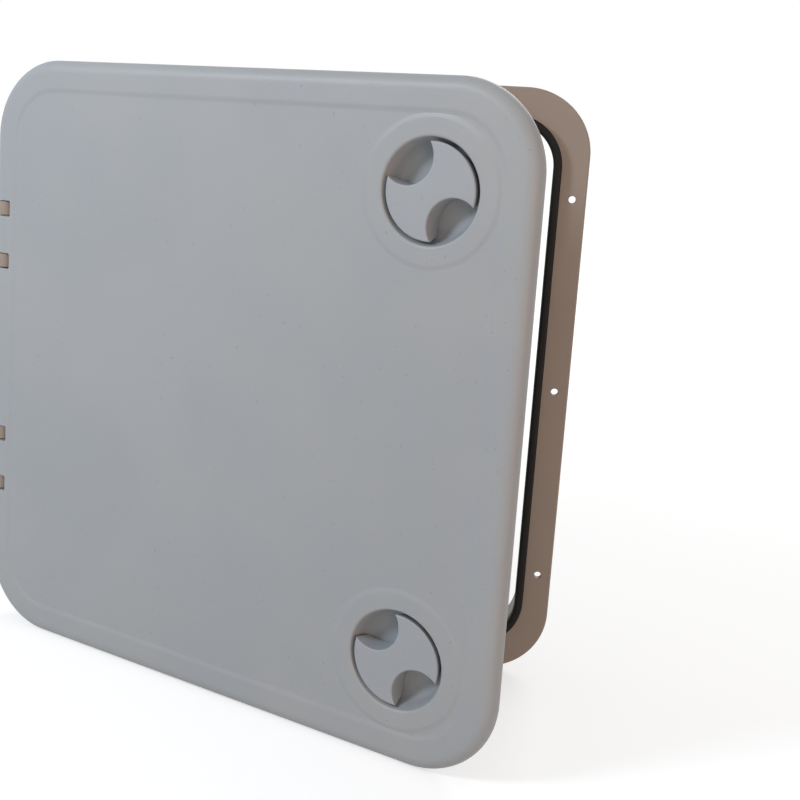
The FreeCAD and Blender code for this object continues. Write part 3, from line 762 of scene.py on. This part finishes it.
# %% [markdown]
# At the hinge the rim of the lid is solid, so that it can hold the pins. Blocks fill the channel there,
# and notches go round the ears of the frame with a small gap on each side. Real ones are cored out by the
# mould, and cutters do the same here. Everything is placed from the hinge line, so that it stays true if
# the hinge moves.

# %% Solid rim and notches at the hinge
HINGE_OFFSET = 75.0
KNUCKLE = 24.0
EAR = 9.0
SIDE_GAP = 0.6
NOTCH = 8.0
NOTCH_ROUND = 1.0
BLOCK_OVERLAP = 0.5
EAR_PITCH = KNUCKLE / 2 + SIDE_GAP + EAR / 2
hinge_lines = [side * HINGE_OFFSET for side in (-1, 1)]
ear_lines = [line + end * EAR_PITCH for line in hinge_lines for end in (-1, 1)]


def knuckle_blocks(bm):
    reach = EAR_PITCH + EAR + SIDE_GAP
    for line in hinge_lines:
        block(bm, (-CHANNEL[0] - BLOCK_OVERLAP, line - reach, LID_BACK),
              (-CHANNEL[1] + BLOCK_OVERLAP, line + reach, CHANNEL[2] + BLOCK_OVERLAP))


def ear_notches(bm):
    half = EAR / 2 + SIDE_GAP
    for line in ear_lines:
        verts = block(bm, (-HALF - CLEAR, line - half, LID_BACK - CLEAR),
                      (HINGE.x + NOTCH, line + half, LID_FRONT + CLEAR))
        inner = [v for v in verts if v.co.x > HINGE.x]
        level = edges_of(inner, lambda a, b: a in inner and b in inner and abs(a.co.y - b.co.y) < SAME)
        soften(bm, level, NOTCH_ROUND)


print("ears at y", ear_lines)

# %% [markdown]
# Each knuckle has a bore for its pin and a slot from the back, by which it snaps on. A bore could be turned
# as the cups are, but it lies along Y, and the cone operator makes a cylinder in one call when both of its
# radii are the same.

# %% Bores and snap slots
PIN = 2.0
PIN_PLAY = 0.05
HOLE_STEPS = 32
SNAP_SLOT = 3.4


def rod(bm, x, z, low, high, radius):
    """A cylinder along Y."""
    place = Matrix.Translation((x, (low + high) / 2, z)) @ Matrix.Rotation(math.radians(90), 4, "X")
    bmesh.ops.create_cone(bm, cap_ends=True, segments=HOLE_STEPS, radius1=radius, radius2=radius,
                          depth=high - low, matrix=place)


def knuckle_bores(bm):
    half = KNUCKLE / 2 + SIDE_GAP
    for line in hinge_lines:
        rod(bm, HINGE.x, HINGE.z, line - half, line + half, PIN + PIN_PLAY)


def snap_slots(bm):
    half = KNUCKLE / 2 + SIDE_GAP
    for line in hinge_lines:
        block(bm, (HINGE.x - SNAP_SLOT / 2, line - half, LID_BACK - CLEAR),
              (HINGE.x + SNAP_SLOT / 2, line + half, HINGE.z))


print(f"bores {2 * (PIN + PIN_PLAY):.1f} mm wide for the pins, snap slots {SNAP_SLOT} mm")

# %% [markdown]
# Now the lid is put together. The order matters: what is added comes first, so that the cups' hollows also
# cut away the ribs that run into them. The ribs that run along the lid and those across it are added one
# after the other, because a mesh that crosses itself isn't a closed solid to the Boolean modifier.

# %% The lid put together
for along_x in (True, False):
    add(lid, lambda bm: ribs(bm, along_x))
add(lid, cup_backs)
add(lid, knuckle_blocks)
for build in (cup_hollows, pin_marks, ear_notches, knuckle_bores, snap_slots):
    cut(lid, build)
finish_piece(lid, "lid_moulding", "lid", LID_GREY, LID, "lid")

# %% [markdown]
# The frame is one more closed profile of rings: the flange, the upstand that carries the seal, and the
# skirt that goes through the cut-out of the bulkhead. A flat plate with a hole cut into it would need
# every edge rounded afterwards, while here the profile has the rounds already. Its first and last ring are
# bridged too, because the frame is open in the middle.

# %% Frame shell
FRAME_EDGE = 0.3


def frame_shell(bm):
    edge = FRAME_EDGE
    outside = OPENING + WALL
    flange = [(HALF - edge, 0), (HALF, edge)]
    flange += quarter_round(HALF - FLANGE_ROUND, FLANGE - FLANGE_ROUND, FLANGE_ROUND, 0, 90, steps=5)
    rings = concentric(flange, HALF, FLANGE_CORNER)
    wall = [(outside + edge, FLANGE), (outside, FLANGE + edge), (outside, UPSTAND - edge),
            (outside - edge, UPSTAND), (OPENING + edge, UPSTAND), (OPENING, UPSTAND - edge),
            (OPENING, SKIRT + edge), (OPENING + edge, SKIRT), (outside - edge, SKIRT),
            (outside, SKIRT + edge), (outside, -edge), (outside + edge, 0)]
    rings += concentric(wall, OPENING, OPENING_CORNER)
    bridge_rings(bm, rings, closed=True)


frame_piece = solid("frame_moulding", frame_shell)
print("frame shell faces:", len(frame_piece.data.polygons))

# %% [markdown]
# The frame's fittings are the ears that hold the hinge pins. An ear is flat below and round above, so the
# pen draws it and solidify gives it its thickness. The screw holes are cut through the flange with turned
# cutters whose rim flares, which rounds the edge of the hole. Nothing is in them, as on the hatch in the
# photograph.

# %% Ears and screw holes
EAR_RADIUS = 5.75
EAR_ROUND = 0.5
PIN_PRESS = 0.01
SCREW = 2.2
SCREW_RIM = 0.3
SCREW_LINE = HALF - 8.5
SCREW_SPREAD = 121.0


def ears(bm):
    for line in ear_lines:
        before = set(bm.verts)
        pen = Pen(bm, HINGE.x + EAR_RADIUS, HINGE.z).arc((HINGE.x, HINGE.z), 180, 24)
        face = pen.line(HINGE.x - EAR_RADIUS, FLANGE / 2).line(HINGE.x + EAR_RADIUS, FLANGE / 2).face()
        bmesh.ops.solidify(bm, geom=[face], thickness=EAR)
        made = [v for v in bm.verts if v not in before]
        bmesh.ops.rotate(bm, verts=made, cent=(0, 0, 0), matrix=Matrix.Rotation(math.radians(90), 3, "X"))
        middle = sum((v.co.y for v in made)) / len(made)
        bmesh.ops.translate(bm, verts=made, vec=(0, line - middle, 0))
        buried = FLANGE / 2 + SAME
        rims = edges_of(made, lambda a, b: abs(a.co.y - b.co.y) < SAME and min(a.co.z, b.co.z) > buried)
        soften(bm, rims, EAR_ROUND, 2)


def ear_bores(bm):
    half = EAR_PITCH + EAR / 2 + CLEAR
    for line in hinge_lines:
        rod(bm, HINGE.x, HINGE.z, line - half, line + half, PIN + PIN_PRESS)


def screw_holes(bm):
    profile = [(0, FLANGE + CLEAR), (SCREW + SCREW_RIM, FLANGE + CLEAR)]
    profile += quarter_round(SCREW + SCREW_RIM, FLANGE - SCREW_RIM, SCREW_RIM, 90, 180, steps=3)
    profile += [(SCREW, -CLEAR), (0, -CLEAR)]
    for side in (-1, 1):
        for step in (-1, 0, 1):
            turned(bm, profile, (side * SCREW_LINE, step * SCREW_SPREAD), HOLE_STEPS)
            turned(bm, profile, (step * SCREW_SPREAD, side * SCREW_LINE), HOLE_STEPS)


add(frame_piece, ears)
cut(frame_piece, ear_bores)
cut(frame_piece, screw_holes)
# The frame gets the plastic whose colour has painted warm shade in it.
finish_piece(frame_piece, "frame_moulding", "frame", FRAME_PLASTIC_PAINTED_SHADE, HATCH, "frame")

# %% [markdown]
# The seal is a rubber profile with two legs, pushed over the upstand. It could be swept along a curve, but
# rings keep its corners in step with the frame's. Its crown is nearly a half round, and it is the black
# line that shows beside the lid.

# %% Seal
SEAL_FOOT = 0.25


def seal(bm):
    outside = OPENING + WALL + SEAL_LEG
    inside = OPENING - SEAL_LEG
    foot = SEAL_FOOT
    section = [(outside, FLANGE + foot)]
    section += quarter_round(outside - SEAL_ROUND, SEAL_TOP - SEAL_ROUND, SEAL_ROUND, 0, 90, steps=7)
    section += quarter_round(inside + SEAL_ROUND, SEAL_TOP - SEAL_ROUND, SEAL_ROUND, 90, 180, steps=7)
    section += [(inside, FLANGE + foot), (inside + foot, FLANGE), (OPENING, FLANGE), (OPENING, UPSTAND),
                (OPENING + WALL, UPSTAND), (OPENING + WALL, FLANGE), (outside - foot, FLANGE)]
    bridge_rings(bm, concentric(section, OPENING, OPENING_CORNER), closed=True)


finish_piece(solid("frame_seal", seal), "frame_seal", "frame", RUBBER, HATCH,
             "frame_gasket")

# %% [markdown]
# A knob is a turned disc on a stem, level with the lid. Its profile starts at the stem's end, goes round
# the groove of the rubber ring, and follows the cup's bowl with the same gap all the way. The top edge has
# a small round. A bevel could add that afterwards, but in the profile it costs only one more arc.

# %% Knobs
KNOB_SUNK = 0.3
KNOB_LIFT = 0.4
KNOB_TOP = LID_FRONT - KNOB_SUNK
KNOB_BASE = CUP_FLOOR + KNOB_LIFT
KNOB_GAP = 2.0
KNOB_ROUND = 0.9
CAM_FRONT = -16.0
CAM_HOOK = -22.4
CAM_BACK = -28.4
SHANK = 4.5
SHANK_SHORT = 0.5
STEM_EDGE = 0.3
GROOVE_DEPTH = 1.85
GROOVE_HIGH = CUP_FLOOR - 6.0
GROOVE_LOW = CUP_FLOOR - 8.25


def knob_body(bm):
    groove = STEM - GROOVE_DEPTH
    rim = CUP - KNOB_GAP
    foot = CUP - CUP_TAPER - KNOB_GAP
    profile = [(0, CAM_FRONT), (STEM - STEM_EDGE, CAM_FRONT), (STEM, CAM_FRONT + STEM_EDGE),
               (STEM, GROOVE_LOW), (groove, GROOVE_LOW), (groove, GROOVE_HIGH), (STEM, GROOVE_HIGH),
               (STEM, KNOB_BASE)]
    profile += reversed(bowl(rim, KNOB_TOP, foot, KNOB_BASE))
    profile += quarter_round(rim - KNOB_ROUND, KNOB_TOP - KNOB_ROUND, KNOB_ROUND, 0, 90, steps=5)
    profile.append((0, KNOB_TOP))
    turned(bm, profile, steps=CUP_STEPS)


print(f"knob {2 * (CUP - KNOB_GAP):.1f} mm wide, its top {KNOB_SUNK} mm below the lid's front")

# %% [markdown]
# Two scoops, straight cylinders across the knob's rim, give the fingers a hold. They could be dug as
# dishes, but in the photograph their sides are upright and the cup's wall and floor show through them, so
# they are cut right through. The scoop's cutter flares at the top, which rounds the edge that the fingertip
# meets. The square shank goes on last, and a latch's space turns with its piece.

# %% Scoops, shank and both knobs
SCOOP = 15.2
SCOOP_OFFSET = 22.8
SCOOP_DIRECTION = -50.0


def scoops(bm):
    profile = [(0, KNOB_TOP + CLEAR), (SCOOP + KNOB_ROUND, KNOB_TOP + CLEAR)]
    profile += quarter_round(SCOOP + KNOB_ROUND, KNOB_TOP - KNOB_ROUND, KNOB_ROUND, 90, 180, steps=5)
    profile += [(SCOOP, KNOB_BASE - CLEAR), (0, KNOB_BASE - CLEAR)]
    for turn in (0, 180):
        angle = math.radians(SCOOP_DIRECTION + turn)
        turned(bm, profile, (SCOOP_OFFSET * math.cos(angle), SCOOP_OFFSET * math.sin(angle)), CUP_STEPS)


def knob_shank(bm):
    block(bm, (-SHANK, -SHANK, CAM_BACK + SHANK_SHORT), (SHANK, SHANK, CAM_FRONT + SHANK_SHORT))


def latch_space(side, degrees=0):
    """Plate space moved to a latch's axis, with the piece turned about it."""
    latch = LATCHES[side]
    return LID @ Matrix.Translation((latch.x, latch.y, 0)) @ Matrix.Rotation(math.radians(degrees), 4, "Z")


for side in LATCHES:
    knob = solid("knob", knob_body)
    cut(knob, scoops)
    add(knob, knob_shank)
    finish_piece(knob, f"knob_{side}_moulding", f"latch_{side}", KNOB_GREY,
                 latch_space(side), f"knob_{side}")

# %% [markdown]
# Behind the lid each knob carries a cam: a hub on the square shank, an arm whose tip hooks behind the
# skirt, and a web between them. The outline of the arm is the hull of two circles. Blender has a convex
# hull operator, but it would leave the arcs as corners, so the pen draws it: the straight sides leave the
# hub at the angle whose cosine is the difference of the radii over the distance. An extrusion gives it its
# thickness and its rims are bevelled.

# %% Cams
CAM_HUB = 10.0
CAM_TIP = 5.5
CAM_OVERHANG = 2.0
CAM_SPAN = OPENING + WALL + CAM_OVERHANG - LATCHES["upper"].x - CAM_TIP
CAM_ROUND = 0.7
CAM_LEAD = 1.5
print(f"cam arm reaches {CAM_SPAN + CAM_TIP:.1f} mm, {CAM_OVERHANG} mm past the skirt's wall")


def cam_arm(bm):
    lean = math.degrees(math.acos((CAM_HUB - CAM_TIP) / CAM_SPAN))
    start = math.radians(lean)
    pen = Pen(bm, CAM_HUB * math.cos(start), CAM_HUB * math.sin(start)).arc((0, 0), 360 - 2 * lean, 40)
    pen.line(CAM_SPAN + CAM_TIP * math.cos(start), -CAM_TIP * math.sin(start))
    face = pen.arc((CAM_SPAN, 0), 2 * lean, 20).face()
    bmesh.ops.translate(bm, verts=bm.verts, vec=(0, 0, CAM_BACK))
    raised = bmesh.ops.extrude_face_region(bm, geom=[face])
    top = [v for v in raised["geom"] if isinstance(v, bmesh.types.BMVert)]
    bmesh.ops.translate(bm, verts=top, vec=(0, 0, CAM_HOOK - CAM_BACK))
    bmesh.ops.recalc_face_normals(bm, faces=bm.faces)
    low_rim = edges_of(bm.verts, lambda a, b: max(a.co.z, b.co.z) < CAM_BACK + SAME)
    high_rim = edges_of(bm.verts, lambda a, b: min(a.co.z, b.co.z) > CAM_HOOK - SAME)
    soften(bm, low_rim, CAM_ROUND)
    soften(bm, high_rim, CAM_LEAD, 4)

# %% [markdown]
# The hub is a turned disc a little smaller than the arm's end, so that the two don't share a wall, because
# faces that lie in each other confuse the Boolean modifier. The web is a block whose far top edge is
# lowered into the arm. The square hole for the shank is cut last, through all of them.

# %% Hub, web and both cams
HUB_INSET = 0.1
HUB_ROUND = 0.5
HUB_STEPS = 64
SHANK_PLAY = 0.1
WEB = 2.5
WEB_START = 2 * SHANK
WEB_REACH = OPENING - LATCHES["upper"].x - 18.2
WEB_DROP = 1.0
WEB_SINK = 0.5
CAM_TURNS = {"lower": 90, "upper": -90}


def cam_hub(bm):
    hub = CAM_HUB - HUB_INSET
    profile = [(0, CAM_BACK + CLEAR), (hub, CAM_BACK + CLEAR)]
    profile += quarter_round(hub - HUB_ROUND, CAM_FRONT - HUB_ROUND, HUB_ROUND, 0, 90, steps=3)
    profile.append((0, CAM_FRONT))
    turned(bm, profile, steps=HUB_STEPS)


def cam_web(bm):
    verts = block(bm, (WEB_START, -WEB / 2, CAM_HOOK - CLEAR), (WEB_REACH, WEB / 2, CAM_FRONT - WEB_DROP))
    for vert in verts:
        if vert.co.x > (WEB_START + WEB_REACH) / 2 and vert.co.z > CAM_HOOK:
            vert.co.z = CAM_HOOK - WEB_SINK


def shank_hole(bm):
    half = SHANK + SHANK_PLAY
    block(bm, (-half, -half, CAM_BACK - CLEAR), (half, half, CAM_FRONT + CLEAR))


for side, turn in CAM_TURNS.items():
    cam = solid("cam", cam_arm)
    add(cam, cam_hub)
    add(cam, cam_web)
    cut(cam, shank_hole)
    finish_piece(cam, f"cam_{side}_moulding", f"latch_{side}", BLACK_NYLON,
                 latch_space(side, turn), f"cam_{side}")

# %% [markdown]
# A nylon washer between each cam and the lid's sleeve takes the rubbing, and a steel one spreads the load
# of the screw that holds the cam. A washer could be a disc with a hole cut into it. Turning its section
# makes the ring, the hole and the broken edges at once, so it is turned. This cell only draws them.

# %% Washers
WASHER = (2.55, 8.0, 1.5)
THRUST = (STEM + STEM_PLAY, SLEEVE, 1.0)
RING_EDGE = 0.15
SMALL_STEPS = 64


def ring_plate(bm, inner, outer, low, thickness):
    """A flat ring with broken edges."""
    edge = RING_EDGE
    high = low + thickness
    turned(bm, [(inner, low + edge), (inner + edge, low), (outer - edge, low), (outer, low + edge),
                (outer, high - edge), (outer - edge, high), (inner + edge, high), (inner, high - edge),
                (inner, low + edge)], steps=SMALL_STEPS)


def thrust_washer(bm):
    inner, outer, thickness = THRUST
    ring_plate(bm, inner, outer, CAM_FRONT, thickness)


def cam_washer(bm):
    inner, outer, thickness = WASHER
    ring_plate(bm, inner, outer, CAM_BACK - thickness, thickness)


print(f"steel washer {2 * WASHER[1]:.0f} mm wide, nylon one {2 * THRUST[1]:.0f} mm")

# %% [markdown]
# A pan head screw with a cross recess holds each cam. The recess could be left to a bump, but it is deep
# and catches the light, so it is cut: two small blocks, crossed and narrower at the bottom, as the driver's
# bit is. The shank's thread is inside the knob and is left out. Then the washers and the screw are made
# for each latch.

# %% Cam screws, and the fastening of both latches
SCREW_BODY = (2.5, 16.0)
SCREW_TIP = 0.6
SCREW_HEAD = (4.8, 3.2)
HEAD_EDGE = 0.2
HEAD_ROUND = 1.4
HEAD_STEPS = 48
CROSS = (2.4, 1.0, 1.9)
CROSS_TAPER = 0.75


def screw_body(bm):
    shaft, length = SCREW_BODY
    head, height = SCREW_HEAD
    seat = CAM_BACK - WASHER[2]
    crown = seat - height
    profile = [(0, seat + length), (shaft - SCREW_TIP, seat + length), (shaft, seat + length - SCREW_TIP),
               (shaft, seat), (head - HEAD_EDGE, seat), (head, seat - HEAD_EDGE)]
    profile += quarter_round(head - HEAD_ROUND, crown + HEAD_ROUND, HEAD_ROUND, 0, -90, steps=6)
    profile.append((0, crown))
    turned(bm, profile, steps=HEAD_STEPS)


def screw_cross(bm, along_x):
    reach, width, depth = CROSS
    crown = CAM_BACK - WASHER[2] - SCREW_HEAD[1]
    across = (reach, width / 2) if along_x else (width / 2, reach)
    verts = block(bm, (-across[0], -across[1], crown - CLEAR), (across[0], across[1], crown + depth))
    for vert in verts:
        if vert.co.z > crown:
            vert.co.x *= CROSS_TAPER
            vert.co.y *= CROSS_TAPER


for side, turn in CAM_TURNS.items():
    space = latch_space(side, turn)
    finish_piece(solid("thrust", thrust_washer), f"thrust_washer_{side}_ring", f"latch_{side}",
                 WHITE_NYLON, space, f"thrust_washer_{side}")
    finish_piece(solid("washer", cam_washer), f"cam_washer_{side}_ring", f"latch_{side}",
                 STEEL, space, f"cam_washer_{side}")
    screw = solid("screw", screw_body)
    for along_x in (True, False):
        cut(screw, lambda bm: screw_cross(bm, along_x))
    finish_piece(screw, f"cam_screw_{side}_turned", f"latch_{side}", STEEL, space,
                 f"cam_screw_{side}")

# %% [markdown]
# The lid swings on two plain steel pins. Each is pressed into its two ears and turns in the lid's knuckle
# between them. It is turned upright and then laid along the hinge line.

# %% Hinge pins
PIN_CHAMFER = 0.5


def hinge_pin(bm):
    half = EAR_PITCH + EAR / 2
    turned(bm, [(0, -half), (PIN - PIN_CHAMFER, -half), (PIN, PIN_CHAMFER - half),
                (PIN, half - PIN_CHAMFER), (PIN - PIN_CHAMFER, half), (0, half)], steps=HOLE_STEPS)


for side, line in zip(("lower", "upper"), hinge_lines):
    lie = Matrix.Translation((HINGE.x, line, HINGE.z)) @ Matrix.Rotation(math.radians(-90), 4, "X")
    finish_piece(solid("pin", hinge_pin), f"hinge_pin_{side}_turned", "frame", STEEL,
                 HATCH @ lie, f"hinge_pin_{side}")

# %% [markdown]
# The rubber rings in the knobs' stems stay as the CAD model has them, because a plain ring needs nothing
# more and the lid's sleeve hides it. They only get the rubber, in each slot of their materials.

# %% CAD nodes that stay
for side in LATCHES:
    ring = cad_nodes[f"knob_o_ring_{side}"]
    for slot in ring.material_slots:
        slot.material = RUBBER
    print(ring.name, [slot.material.name for slot in ring.material_slots])

# %% [markdown]
# The camera stands where the photograph was taken from, above the middle of the hatch and to its right. It
# could be placed by eye, but edges that are a few pixels off then show as a wrong shape. So its place,
# turn and lens come from matching the edges of the lid and the frame. The picture was cropped from a
# larger one, which is why the lens is shifted.

# %% Camera
CAMERA_PLACE = (0.1331, -0.7874, 0.1645)
CAMERA_TURN = (80.608, -3.280, 9.145)
CAMERA_LENS = 56.09
CAMERA_SHIFT = (0.1251, -0.1023)
FILM_WIDTH = 36.0
NEAREST = 0.01

camera = bpy.data.objects.new("camera", bpy.data.cameras.new("camera"))
camera.location = CAMERA_PLACE
camera.rotation_euler = [math.radians(angle) for angle in CAMERA_TURN]
camera.data.lens = CAMERA_LENS
camera.data.sensor_width = FILM_WIDTH
camera.data.shift_x, camera.data.shift_y = CAMERA_SHIFT
camera.data.clip_start = NEAREST
bpy.context.scene.collection.objects.link(camera)
bpy.context.scene.camera = camera
print(f"camera {camera.location.length:.3f} m from the hatch's middle, lens {CAMERA_LENS} mm")

# %% [markdown]
# The world stands for a white studio. A world of full strength would light the hatch too flatly, so its
# light is weaker than its look: the Light Path node tells what kind of ray asks, and the camera and the
# reflections see white, while the surfaces are lit with less.

# %% World
WORLD_STRENGTH = 0.42


def seen_rays(nodes):
    """1 for rays from the camera and for reflections, which should meet a white studio."""
    path = nodes.node("ShaderNodeLightPath")
    names = ("Is Camera Ray", "Is Glossy Ray", "Is Transmission Ray")
    first, *others = (Signal(nodes, path.outputs[name]) for name in names)
    for other in others:
        first = first.larger(other)
    return first


def white_world():
    world = bpy.data.worlds.new("studio")
    world.use_nodes = True
    bpy.context.scene.world = world
    nodes = Nodes(world.node_tree)
    background = nodes.tree.nodes["Background"]
    nodes.feed(background.inputs["Color"], (1, 1, 1, 1))
    strength = seen_rays(nodes) * (1 - WORLD_STRENGTH) + WORLD_STRENGTH
    nodes.feed(background.inputs["Strength"], strength)
    print("world:", len(nodes.tree.nodes), "nodes, strength", WORLD_STRENGTH, "as light")


white_world()

# %% [markdown]
# The hatch stands on a pale floor that keeps its shadow. The photograph has a plain white ground, and a
# white floor under these lamps would still end in a grey line at the horizon. So the floor glows a little
# for the camera, more with the distance from the hatch, until far away it is as white as the world. Near
# the hatch it glows less, and the soft shadow shows. The floor lies half a millimetre under the hatch, so
# that the two don't share a face.

# %% Pale floor
FLOOR_SIZE = 60.0
FLOOR_GAP = 0.0005
FLOOR_PALE = (0.55, 0.55, 0.55, 1)
FLOOR_LIFT = (0.60, 0.80)
LIFT_DISTANCE = (0.7, 2.6)


def pale_floor():
    bm = bmesh.new()
    bmesh.ops.create_grid(bm, x_segments=1, y_segments=1, size=FLOOR_SIZE / 2)
    bmesh.ops.translate(bm, verts=bm.verts, vec=(0, 0, cad_low.z - FLOOR_GAP))
    mesh = bpy.data.meshes.new("floor")
    bm.to_mesh(mesh)
    bm.free()
    floor = bpy.data.objects.new("floor", mesh)
    bpy.context.scene.collection.objects.link(floor)
    finish = Finish("pale_floor", Base_Color=FLOOR_PALE, Roughness=0.9, Emission_Strength=1.0)
    length = finish.node("ShaderNodeVectorMath", {"operation": "LENGTH"}, {"Vector": finish.place})
    near, far = FLOOR_LIFT
    lift = Signal(finish, length.outputs["Value"]).ramp(*LIFT_DISTANCE) * (far - near) + near
    finish.feed(finish.shader.inputs["Emission Color"], seen_rays(finish) * lift)
    mesh.materials.append(finish.material)
    print(f"floor at z {cad_low.z - FLOOR_GAP:.4f} m, {FLOOR_SIZE} m wide")


pale_floor()

# %% [markdown]
# Four round lamps light the hatch. The key is a small cool one from the upper left, and it draws the
# knobs' scoops and makes the lid a little darker towards its right edge, as in the photograph. Two warm
# ones from the right give the round edge of the lid and the frame their brown side, as a wooden room
# would. The last stands behind, so that ribs and cams show when the hatch is looked at from there. The
# view transform Standard keeps the colours as they are set.

# %% Lamps
COOL = (0.92, 0.99, 1.08)
WHITE = (1.0, 1.0, 1.0)
WARM = (1.0, 0.72, 0.50)
WARMER = (1.0, 0.50, 0.28)


def lamp(name, place, aim, size, watts, colour):
    """A round lamp at a place, turned towards its aim."""
    data = bpy.data.lights.new(name, "AREA")
    data.shape = "DISK"
    data.size = size
    data.energy = watts
    data.color = colour
    made = bpy.data.objects.new(name, data)
    made.location = place
    made.rotation_euler = (Vector(aim) - Vector(place)).to_track_quat("-Z", "Y").to_euler()
    bpy.context.scene.collection.objects.link(made)
    print(f"{name}: {watts} W, {size} m wide, {made.location.length:.2f} m away")


lamp("key", (-0.74, -0.70, 0.62), (-0.03, -0.05, 0), size=0.3, watts=6.1, colour=COOL)
lamp("warm_side", (0.95, -1.00, -0.12), (0.15, 0, -0.05), size=0.6, watts=3.0, colour=WARMER)
lamp("warm_front", (0.80, -2.35, 0.20), (0.10, 0, 0), size=0.9, watts=8.4, colour=WARM)
lamp("back", (0.70, 1.60, 1.10), (0, 0, 0), size=0.9, watts=11.0, colour=WHITE)
bpy.context.scene.view_settings.view_transform = "Standard"
